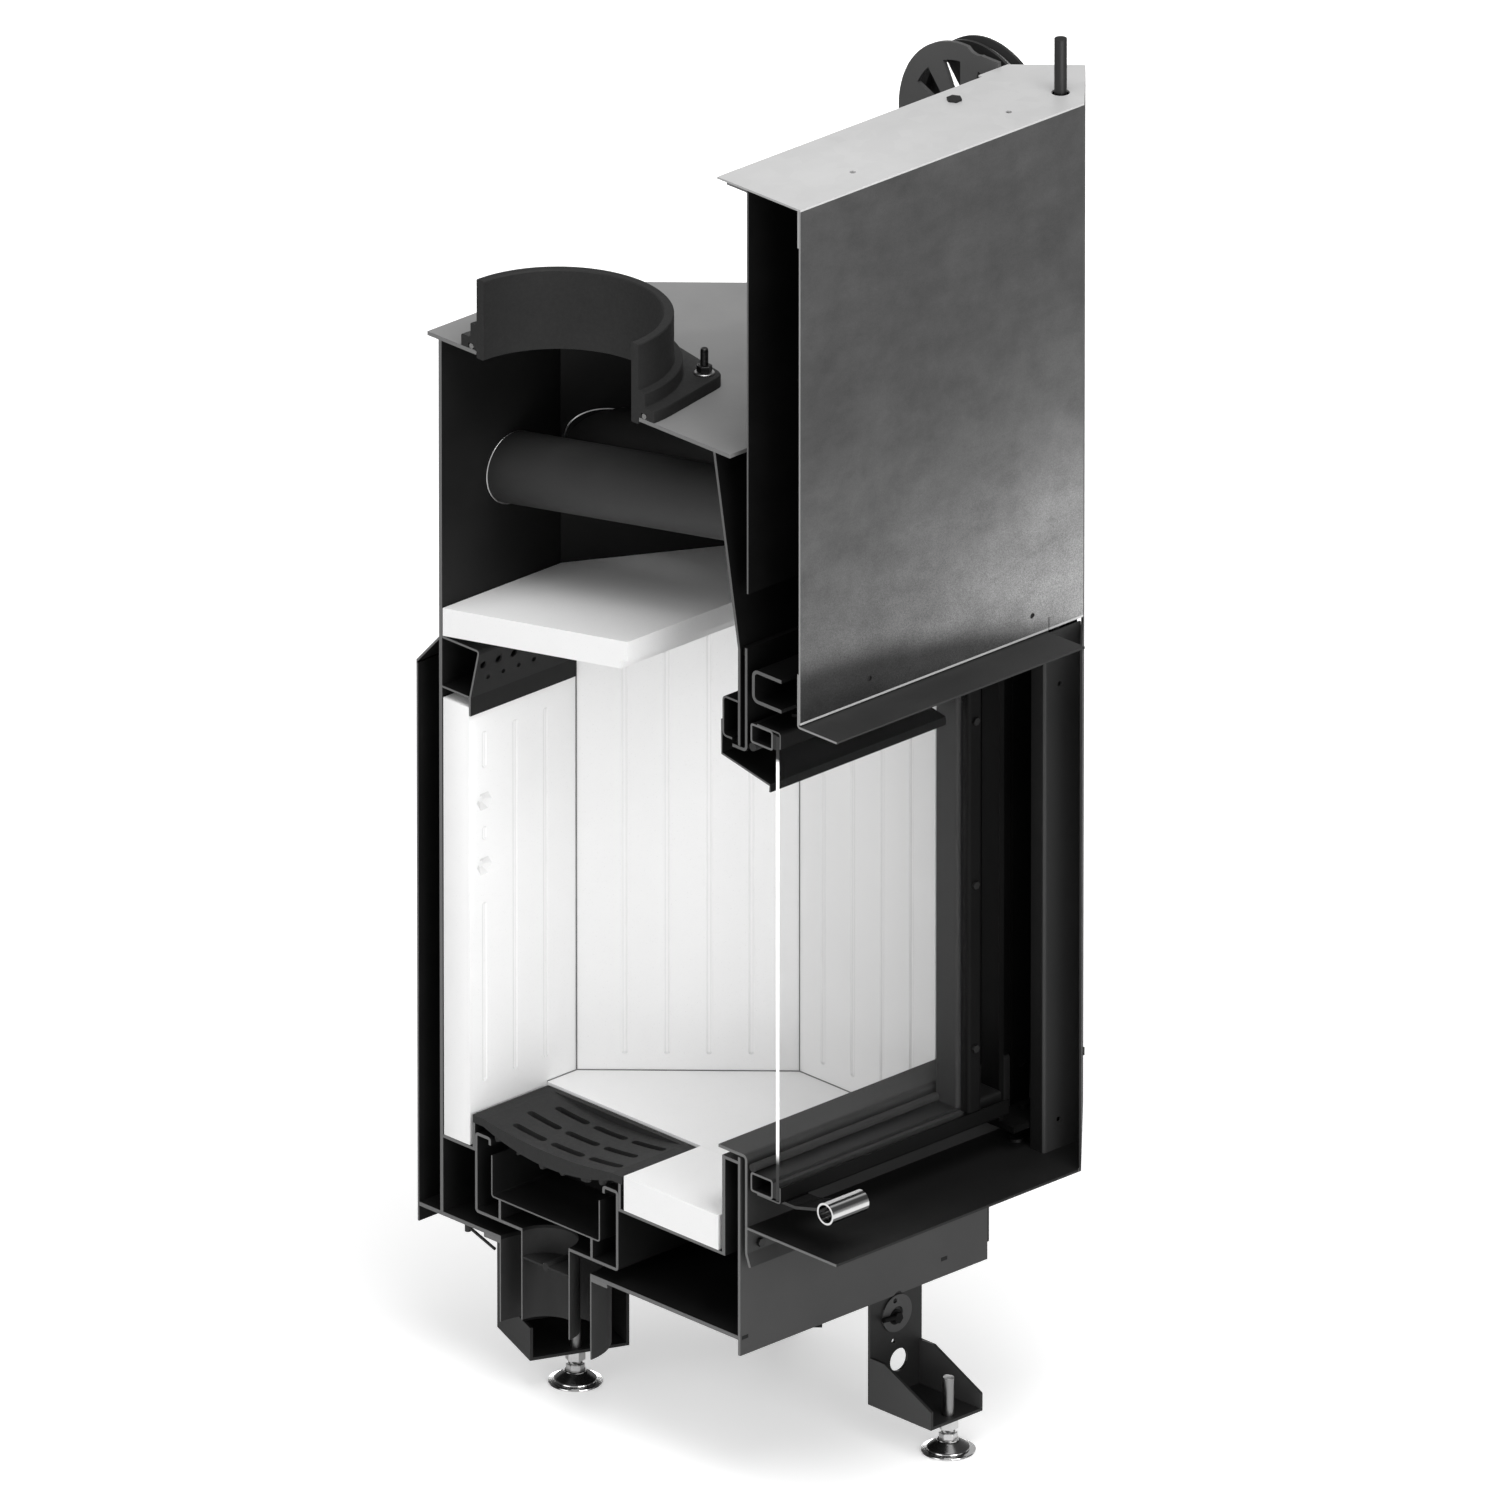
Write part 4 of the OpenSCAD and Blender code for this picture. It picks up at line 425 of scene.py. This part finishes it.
# Worn edges, in metres
BEVELS = {"angled_lining": 0.0008, "side_lining": 0.0008, "hearth_lining": 0.0010,
          "front_lining": 0.0010, "baffle_plate": 0.0010, "grate": 0.0006,
          "counterweight": 0.0008, "pulley_wheel": 0.0004, "lift_carriage": 0.0004,
          "door_handle": 0.0003, "top_plate": 0.0003}
for name, width in BEVELS.items():
    bevel = nodes[name].modifiers.new("edges", "BEVEL")
    bevel.width, bevel.segments, bevel.limit_method = width, 2, "ANGLE"
    bevel.angle_limit = math.radians(35)

# The new pieces are written in millimetres: x from the cut plane, y from the casing's front and
# z from the floor
SHIFT = Vector((CUT_X * 1000, -151.8, 0.0))
MM = 0.001


def at(p):
    """A point of a new piece in the frame's metres."""
    return (Vector(p) + SHIFT) * MM


def linked(name, bm):
    """An object with the bmesh as its mesh."""
    mesh = bpy.data.meshes.new(name)
    bm.to_mesh(mesh)
    bm.free()
    obj = bpy.data.objects.new(name, mesh)
    bpy.context.scene.collection.objects.link(obj)
    return obj


def piece(name, bm, body, material, smooth=25, replaces=()):
    """Turn a bmesh into a dressed object that rides on a body."""
    bmesh.ops.remove_doubles(bm, verts=bm.verts, dist=1e-7)
    bmesh.ops.recalc_face_normals(bm, faces=bm.faces)
    obj = linked(name, bm)
    obj.data.materials.append(material)
    obj.data.shade_smooth()
    obj.data.set_sharp_from_angle(angle=math.radians(smooth))
    if body:
        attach(obj, body)
    if replaces:
        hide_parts(*replaces)
    return obj


def turns(n):
    """n equal steps of one full turn."""
    return [2 * math.pi * k / n for k in range(n)]


def skin(bm, rings, closed=False):
    """Skin a list of equal rings of points; closed joins the last ring to the first."""
    rows = [[bm.verts.new(at(p)) for p in ring] for ring in rings]
    n = len(rows[0])
    pairs = list(zip(rows, rows[1:])) + ([(rows[-1], rows[0])] if closed else [])
    for a, b in pairs:
        for k in range(n):
            bm.faces.new((a[k], a[(k + 1) % n], b[(k + 1) % n], b[k]))
    if not closed:
        bm.faces.new(rows[0][::-1])
        bm.faces.new(rows[-1])


def lathe(bm, centre, profile, steps):
    """Turn an outline of (radius, height) points, from the axis to the axis, round a vertical."""
    cx, cy, cz = centre
    rows = []
    for r, h in profile:
        spots = [(cx + r * math.cos(a), cy + r * math.sin(a), cz + h) for a in turns(steps)]
        rows.append([bm.verts.new(at(p)) for p in (spots if r else spots[:1])])
    for a, b in zip(rows, rows[1:]):
        for k in range(steps):
            m = (k + 1) % steps
            if len(a) == 1:
                bm.faces.new((a[0], b[m], b[k]))
            elif len(b) == 1:
                bm.faces.new((a[k], a[m], b[0]))
            else:
                bm.faces.new((a[k], a[m], b[m], b[k]))


def thread(r, z0, z1, pitch, depth):
    """The outline of a threaded stud: a saw of crests and roots with a chamfered end."""
    saw = []
    for k in range(int((z1 - z0 - 2) / pitch)):
        z = z0 + k * pitch
        saw += [(r - depth, z + 0.1 * pitch), (r, z + 0.45 * pitch), (r, z + 0.6 * pitch)]
    return saw + [(r - depth, z1 - 1.6), (r - depth, z1 - 0.8), (r - 1.2, z1), (0, z1)]


def hexagon(bm, centre, across, h, turn):
    """A nut: six flats with both rims chamfered."""
    cx, cy, cz = centre
    edge = 0.7
    r = across / math.sqrt(3)
    small = r - edge
    rings = []
    for reach, z in ((small, 0), (r, edge * 0.6), (r, h - edge * 0.6), (small, h)):
        rings.append([(cx + reach * math.cos(turn + a), cy + reach * math.sin(turn + a), cz + z)
                      for a in turns(6)])
    skin(bm, rings)


def sweep(bm, points, r, sides, closed=False):
    """A round bar along a list of points."""
    pts = [Vector(p) for p in points]
    n = len(pts)
    normal = None
    rings = []
    for k, p in enumerate(pts):
        if closed:
            along = (pts[(k + 1) % n] - pts[k - 1]).normalized()
        else:
            along = (pts[min(k + 1, n - 1)] - pts[max(k - 1, 0)]).normalized()
        if normal is None:
            normal = along.orthogonal().normalized()
        normal = (normal - along * normal.dot(along)).normalized()
        other = along.cross(normal)
        rings.append([p + r * (normal * math.cos(a) + other * math.sin(a)) for a in turns(sides)])
    skin(bm, rings, closed)


# Levelling feet, in radii and heights from the floor: plated disc, black cone, plated rings, two
# nuts, and the smooth end of the stud over the bracket
FEET = ((207.5, -71.0), (64.5, 288.5), (283.0, 249.0))
BRACKET_Z = 34.0
STUD_R, STUD_LOW, STUD_TOP = 5.5, BRACKET_Z + 0.1, BRACKET_Z + 42
DISC = ((0, 0), (24.5, 0), (26, 0.5), (26.3, 1.2), (26, 1.9), (23, 2.3), (19.9, 2.6),
        (19.4, 3.6), (0, 3.6))
CONE = ((0, 3.7), (20.1, 3.7), (20.3, 4.6), (19.4, 5.6), (12.2, 10.2), (11.6, 10.9),
        (10.8, 11.1), (0, 11.1))
LOW_RING = ((0, 11.2), (9.6, 11.2), (10.4, 11.6), (10.4, 12.6), (9.6, 13.2), (0, 13.2))
HIGH_RING = ((0, 19.4), (6.4, 19.4), (6.8, 20.2), (6.8, 23.2), (0, 23.2))
STUD = ((0, STUD_LOW), (STUD_R, STUD_LOW), (STUD_R, STUD_TOP - 1), (STUD_R - 0.6, STUD_TOP - 0.2),
        (0, STUD_TOP))
# Each nut's lower face, width across its flats, height and turn
NUTS = ((13.3, 15.5, 6.0, 0.3), (23.3, 17.0, BRACKET_Z - 23.5, 0.1))

plated = chrome("plated")
gloss = painted("gloss_black", tone=0.006, rough=0.16, cut_tone=0.05, dust=0.2, grain=500.0,
                sheen=0.8)
bright_part, cone_part, stud_part, nut_part = (bmesh.new() for k in range(4))
for x, y in FEET:
    for bm, outline, steps in ((bright_part, DISC, 72), (bright_part, LOW_RING, 48),
                               (bright_part, HIGH_RING, 40), (cone_part, CONE, 72),
                               (stud_part, STUD, 40)):
        lathe(bm, (x, y, 0), outline, steps)
    for low, across, h, turn in NUTS:
        hexagon(nut_part, (x, y, low), across, h, turn)
piece("foot_discs", bright_part, "casing", plated, 30, ("levelling_feet",))
piece("foot_cones", cone_part, "casing", gloss)
piece("foot_studs", stud_part, "casing", steel("stud_steel", 0.30, 0.25))
piece("foot_nuts", nut_part, "casing", steel("nut_steel", 0.85, 0.28))

# The small screw in the disc of the front foot's bracket: washer and head, each with radius,
# reach and sides, and a pin that lies to the left
SCREW_AT = Vector((204.8, -2.05, 116.6))
WASHER, HEAD = (7.6, 0.9, 32), (5.8, 5.0, 6)
PIN_R, PIN_ROOT, PIN_TIP = 2.5, Vector((-3, -3.2, 1.2)), Vector((-18.8, -3.2, 2.9))
screw = bmesh.new()
for r, reach, sides in (WASHER, HEAD):
    sweep(screw, [SCREW_AT, SCREW_AT - Vector((0, reach, 0))], r, sides)
sweep(screw, [SCREW_AT + PIN_ROOT, SCREW_AT + PIN_TIP], PIN_R, 12)
piece("bracket_screw", screw, "casing", DEEP)

# Flue collar: half of a stepped cast ring with two bolt ears, and a rope in its lower groove
FLUE_Y, FLUE_Z = 244.0, 1060.0
FLUE_R, FLUE_OUT, STEP_R, RING_R, EAR_R, EAR_AT = 100.0, 109.7, 118.0, 130.6, 15.5, 138.0
EAR_T, STEP_H, NECK_H, DROP = 12.0, 26.7, 74.0, 6.5
GROOVE_IN, GROOVE_OUT, GROOVE_H = 113, 121, 5.5
ROPE_AT, ROPE_LIFT, ROPE_R = 117, 2.9, 2.7
EARS = (math.radians(-45), math.radians(45))


def ring_reach(turn):
    """The flange's outline: a circle run out to each ear by its outer tangents."""
    meet = math.acos((RING_R - EAR_R) / EAR_AT)
    tip = math.atan2(EAR_R * math.sin(meet), EAR_AT + EAR_R * math.cos(meet))
    best = RING_R
    for ear in EARS:
        off = abs(turn - ear)
        if off < tip:
            half_chord = math.sqrt(EAR_R ** 2 - (EAR_AT * math.sin(off)) ** 2)
            best = max(best, EAR_AT * math.cos(off) + half_chord)
        elif off < meet:
            best = max(best, RING_R / math.cos(meet - off))
    return best


def collar_ring(turn):
    """The collar's section at one turn, with its small roundings."""
    out = ring_reach(turn)
    outline = ((FLUE_R, -DROP), (FLUE_R + 1, -DROP - 0.6), (FLUE_OUT - 1, -DROP - 0.6),
               (FLUE_OUT, -DROP), (FLUE_OUT, 0), (GROOVE_IN, 0), (GROOVE_IN, GROOVE_H),
               (GROOVE_OUT, GROOVE_H), (GROOVE_OUT, 0), (out, 0), (out, EAR_T - 1.6),
               (out - 0.6, EAR_T - 0.5), (out - 1.8, EAR_T), (STEP_R + 2.2, EAR_T),
               (STEP_R + 0.6, EAR_T + 0.6), (STEP_R, EAR_T + 2.2), (STEP_R, STEP_H - 1),
               (STEP_R - 1, STEP_H), (FLUE_OUT + 2.5, STEP_H), (FLUE_OUT + 0.7, STEP_H + 0.7),
               (FLUE_OUT, STEP_H + 2.5), (FLUE_OUT, NECK_H - 1), (FLUE_OUT - 1, NECK_H),
               (FLUE_R + 1, NECK_H), (FLUE_R, NECK_H - 1))
    return [(r * math.cos(turn), FLUE_Y + r * math.sin(turn), FLUE_Z + h) for r, h in outline]


half_turn = [math.radians(k - 90) for k in range(181)]
collar, rope_ring, studs, washers = (bmesh.new() for k in range(4))
skin(collar, [collar_ring(a) for a in half_turn])
sweep(rope_ring, [(ROPE_AT * math.cos(a), FLUE_Y + ROPE_AT * math.sin(a), FLUE_Z + ROPE_LIFT)
                  for a in half_turn], ROPE_R, 10)
STUD_OUTLINE = [(0, 8.9), (3.5, 8.9)] + thread(3.9, 9.0, 26.0, pitch=1.3, depth=0.4)
WASHER_OUTLINE = ((0, 0.05), (9.4, 0.05), (9.8, 0.4), (9.8, 1.4), (9.2, 2.0), (0, 2.0))
for ear in EARS:
    x, y, z = EAR_AT * math.cos(ear), FLUE_Y + EAR_AT * math.sin(ear), FLUE_Z + EAR_T
    lathe(studs, (x, y, z), STUD_OUTLINE, 28)
    hexagon(studs, (x, y, z + 2.1), across=13.0, h=6.6, turn=0.4)
    lathe(washers, (x, y, z), WASHER_OUTLINE, 40)
piece("cast_collar", collar, "casing",
      cast("collar_iron", tone=0.0072, cut_tone=0.014), 28, ("flue_collar",))
piece("collar_rope", rope_ring, "casing", rope("pale_rope", tone=0.20), 40)
piece("collar_studs", studs, "casing", MATS["black_steel"], 28,
      ("collar_fasteners",))
piece("collar_washers", washers, "casing", steel("washer_steel", 0.5, 0.3), 30)

# Lift cables: six strands twisted round a core, from the pulley down to the door's beam and to
# the counterweight, and over the pulley
WHEEL_X, WHEEL_Y, WHEEL_Z = 399.0, 80.0, 1259.5
CABLE_AT = 77.05
BEAM_Z, WEIGHT_TOP = 817.1, 1149.5
LAY, STRAND_R, STRAND_AT, STRANDS = 14.0, 0.5, 0.95, 6


def strand_turn(length, s):
    return 2 * math.pi * (length / LAY + s / STRANDS)


def stranded(bm, top, bottom, x, y):
    """A straight cable, from the bottom up."""
    drop = top - bottom
    steps = int(drop / LAY * 10)
    sweep(bm, [(x, y, bottom + drop * k / 40) for k in range(41)], STRAND_R, 6)
    for s in range(STRANDS):
        route = []
        for k in range(steps + 1):
            up = drop * k / steps
            turn = strand_turn(up, s)
            route.append((x + STRAND_AT * math.cos(turn), y + STRAND_AT * math.sin(turn),
                          bottom + up))
        sweep(bm, route, STRAND_R, 5)


for name, node, y, low, body in (
        ("lift_cable_fore", "lift_cable_front", WHEEL_Y - CABLE_AT, BEAM_Z, "door_carriage"),
        ("lift_cable_aft", "lift_cable_rear", WHEEL_Y + CABLE_AT, WEIGHT_TOP, "weight")):
    cable = bmesh.new()
    stranded(cable, WHEEL_Z, low, WHEEL_X, y)
    obj = piece(name, cable, None, MATS["cable_steel"], 60, (node,))
    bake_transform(obj)
wrap = bmesh.new()
for s in range(STRANDS + 1):
    route = []
    out = 0.0 if s == STRANDS else STRAND_AT
    for k in range(121):
        a = math.pi * k / 120
        turn = strand_turn(CABLE_AT * a, s)
        r = CABLE_AT + out * math.cos(turn)
        route.append((WHEEL_X + out * math.sin(turn), WHEEL_Y - r * math.cos(a),
                      WHEEL_Z + r * math.sin(a)))
    sweep(wrap, route, STRAND_R, 5)
piece("cable_on_pulley", wrap, "casing", MATS["cable_steel"], 60)

# Bright weld rims where the exchanger tubes pass through the rear and the sloping wall
TUBE_R, TUBE_SLOPE, TUBE_LEVEL_Y, RIM_R = 35.2, 0.179, 367.6, 0.7
REAR_X, REAR_Y, REAR_Z = 94.0, 401.4, 898.4
CORNER_X, CORNER_Y, CORNER_Z = 193.0, 363.6, 905.0
rise = TUBE_R * math.sqrt(1 + TUBE_SLOPE ** 2)
rims = bmesh.new()
rear_rim, corner_rim = [], []
for a in turns(72):
    across, up = TUBE_R * math.cos(a), rise * math.sin(a)
    y = CORNER_Y - across
    rear_rim.append((REAR_X + across, REAR_Y, REAR_Z + up))
    corner_rim.append((CORNER_X + across, y, CORNER_Z + TUBE_SLOPE * (y - TUBE_LEVEL_Y) + up))
for rim in (rear_rim, corner_rim):
    sweep(rims, rim, RIM_R, 6, closed=True)
piece("tube_rims", rims, "casing", steel("weld_rim", 0.7, 0.3), 50)

# The rear lining board, with its grooves, each with x and two ends, and two shallow six-sided
# pockets in the first one
BOARD_Y, BOARD_BACK, BOARD_END, BOARD_MITRE = 365.1, 400.6, 140.0, 14.7
BOARD_LOW, BOARD_HIGH = 239.5, 691.0
GROOVE_R, GROOVE_DEPTH = 4.0, 1.5
GROOVES = ((20, 299, 486), (20, 548, 564), (20, 622, 662), (60, 299, 662), (100, 299, 662))
POCKET_X, POCKETS = 20, (589.0, 522.5)
POCKET_RINGS = ((11.4, BOARD_Y - 1.2), (3.2, BOARD_Y + 5.5))


def carved(name, board, cutters):
    """The board's mesh with every cutter taken out of it; the helpers are removed again."""
    for bm in [board] + cutters:
        bmesh.ops.recalc_face_normals(bm, faces=bm.faces)
    body = linked(name + "_board", board)
    tools = [linked(name + "_cut", cutter) for cutter in cutters]
    bevel = body.modifiers.new("rim", "BEVEL")
    bevel.width, bevel.segments, bevel.limit_method = 0.0009, 2, "ANGLE"
    for tool in tools:
        cut = body.modifiers.new("cut", "BOOLEAN")
        cut.object, cut.operation, cut.solver = tool, "DIFFERENCE", "EXACT"
    bpy.context.view_layer.update()
    graph = bpy.context.evaluated_depsgraph_get()
    out = bmesh.new()
    out.from_mesh(bpy.data.meshes.new_from_object(body.evaluated_get(graph)))
    for obj in tools + [body]:
        bpy.data.objects.remove(obj)
    return out


board = bmesh.new()
plan = ((0, BOARD_Y), (BOARD_END, BOARD_Y), (BOARD_END + BOARD_MITRE, BOARD_BACK),
        (0, BOARD_BACK))
skin(board, [[(x, y, z) for x, y in plan] for z in (BOARD_LOW, BOARD_HIGH)])
quarter = [math.pi / 2 * k / 8 for k in range(9)]
dome = [(GROOVE_R * math.sin(a), GROOVE_R * (1 - math.cos(a))) for a in quarter]
cutters = []
for x, low, high in GROOVES:
    groove = bmesh.new()
    outline = [(r, low + h) for r, h in dome] + [(r, high - h) for r, h in dome[::-1]]
    lathe(groove, (x, BOARD_Y - GROOVE_R + GROOVE_DEPTH, 0), outline, 40)
    cutters.append(groove)
for z in POCKETS:
    pocket = bmesh.new()
    skin(pocket, [[(POCKET_X + r * math.cos(a), y, z + r * math.sin(a)) for a in turns(6)]
                  for r, y in POCKET_RINGS])
    cutters.append(pocket)
piece("rear_board", carved("rear", board, cutters), "casing", MATS["lining"], 25,
      ("back_lining",))

# The air-wash deflector runs on to the door's stile: a folded sheet given by its middle line
FOLD = ((22.0, 786.4), (22.0, 751.5), (-42.9, 739.0), (-42.9, 731.8))
DEFLECTOR_END, HALF_SHEET = 230.0, 1.0
outer, inner = [], []
for k, (y, z) in enumerate(FOLD):
    before, after = FOLD[max(k - 1, 0)], FOLD[min(k + 1, len(FOLD) - 1)]
    along = Vector((after[0] - before[0], after[1] - before[1])).normalized()
    side = Vector((-along.y, along.x)) * HALF_SHEET
    outer.append((y + side.x, z + side.y))
    inner.append((y - side.x, z - side.y))
deflector = bmesh.new()
skin(deflector, [[(x, y, z) for y, z in outer + inner[::-1]] for x in (0.0, DEFLECTOR_END)])
piece("deflector_sheet", deflector, "casing", DEEP, 30, ("air_wash_deflector",))

# Rough casting lugs under the grate's cut edge, each with its share of the way from the middle
# to an end, its width and its depth
GRATE_MID, GRATE_HALF, GRATE_UNDER, GRATE_SAG = 259.4, 87.6, 265.0, 15.0
LUG_X, LUG_HALF, WOBBLE = 6.0, 5.0, 0.12
LUGS = ((-0.82, 9, 5.2), (-0.55, 13, 3.8), (-0.2, 8, 3.2), (0.12, 11, 4.6), (0.48, 8, 3.6),
        (0.8, 11, 4.8))
lugs = bmesh.new()
for k, (share, wide, deep) in enumerate(LUGS):
    y = GRATE_MID + GRATE_HALF * share
    z = GRATE_UNDER - GRATE_SAG * (1 - share * share)
    rings = []
    for drop, half in ((-2.5, wide / 2 + 1), (deep * 0.5, wide / 2), (deep, wide / 2 - 1.4)):
        ring = []
        for a in turns(10):
            wobble = 1 + WOBBLE * math.sin(3 * a + k)
            ring.append((LUG_X + LUG_HALF * wobble * math.cos(a),
                         y + half * wobble * math.sin(a), z - drop))
        rings.append(ring)
    skin(lugs, rings)
piece("grate_lugs", lugs, "fire_grate", MATS["cast_iron"], 40)

# Dark open joints between the lining boards: two upright corners and the hearth's edge
CORNERS = ((140.2, 365.1), (289.5, 215.8))
JOINT_R, FAR_JOINT_R = 0.8, 0.55
HEARTH_Z, BOARD_TOP = 275.0, 752.0
joints = bmesh.new()
for (x, y), r in zip(CORNERS, (JOINT_R, FAR_JOINT_R)):
    sweep(joints, [(x - 0.3, y - 0.3, HEARTH_Z + 0.5 + (BOARD_TOP - HEARTH_Z) * k / 20)
                   for k in range(21)], r, 6)
(near_x, near_y), (far_x, far_y) = CORNERS
hearth_edge = ((101.5, 365.0), (near_x - 0.3, near_y - 0.1), (far_x - 0.1, far_y - 0.3),
               (289.4, 33.0))
sweep(joints, [(x, y, HEARTH_Z + 0.1) for x, y in hearth_edge], JOINT_R, 6)
piece("lining_joints", joints, "casing",
      painted("joint_shadow", tone=0.16, rough=0.9, cut_tone=0.16, dust=0.8, grain=300.0,
              sheen=0.05), 40)

# Soft studio lights: place, aim, size in metres and power in watts
LIGHTS = {
    "key_top": ((-0.5, -1.2, 4.2), (0, 0, 0.8), 2.6, 108),
    "fill_left": ((-4.2, 0.4, 1.7), (0, 0, 0.7), 2.8, 33),
    "front_soft": ((-0.9, -4.4, 1.6), (0, 0, 0.7), 2.6, 84),
    "front_low": ((-1.7, -3.4, 0.35), (0, 0.1, 0.7), 1.6, 17),
    "rim_right": ((2.6, 3.2, 0.6), (0, 0, 0.7), 1.4, 42),
}
for name, (place, aim, size, power) in LIGHTS.items():
    light = bpy.data.lights.new(name, "AREA")
    light.energy, light.size = power, size
    obj = bpy.data.objects.new(name, light)
    bpy.context.scene.collection.objects.link(obj)
    obj.location = place
    obj.rotation_euler = (Vector(aim) - Vector(place)).to_track_quat("-Z", "Y").to_euler()

WORLD_STRENGTH = 0.42
world = bpy.data.worlds.new("studio")
bpy.context.scene.world = world
world.use_nodes = True
back = world.node_tree.nodes["Background"]
back.inputs["Color"].default_value = (1, 1, 1, 1)
back.inputs["Strength"].default_value = WORLD_STRENGTH

# A pale floor that the camera sees as white and that keeps the object's shadow
FLOOR_HALF, FLOOR_DROP, FLOOR_TONE, FLOOR_GLOW = 60, 0.0005, 0.86, 0.42
ground = bmesh.new()
bmesh.ops.create_grid(ground, x_segments=2, y_segments=2, size=FLOOR_HALF)
floor = linked("floor", ground)
floor.location = (0, 0, -FLOOR_DROP)
g = Graph("floor")
seen = g.node("LightPath", {}, [], "Is Camera Ray")
floor.data.materials.append(
    g.done(Base_Color=grey(FLOOR_TONE), Roughness=0.95, Specular_IOR_Level=0.1,
           Emission_Color=g.mix(seen, grey(0.0), grey(FLOOR_GLOW)), Emission_Strength=1.0))

# The photograph is close to a parallel view, so a long lens stands far away
LENS, SENSOR, FAR = 1500.0, 36.0, 400.0
IMAGE, PIXEL = 1500, 0.000943
right = Vector((0.7191, -0.6949, 0.0))
up = Vector((0.2772, 0.2868, 0.9170))
backward = right.cross(up).normalized()
aim = Vector((-0.0292, 0.0271, 0.6487))
distance = IMAGE * PIXEL * LENS / SENSOR
cam = bpy.data.cameras.new("camera")
cam.lens, cam.sensor_width, cam.clip_end = LENS, SENSOR, FAR
camera = bpy.data.objects.new("camera", cam)
bpy.context.scene.collection.objects.link(camera)
camera.location = aim + backward * distance
camera.rotation_euler = backward.to_track_quat("Z", "Y").to_euler()
bpy.context.scene.camera = camera
bpy.context.scene.view_settings.view_transform = "Standard"
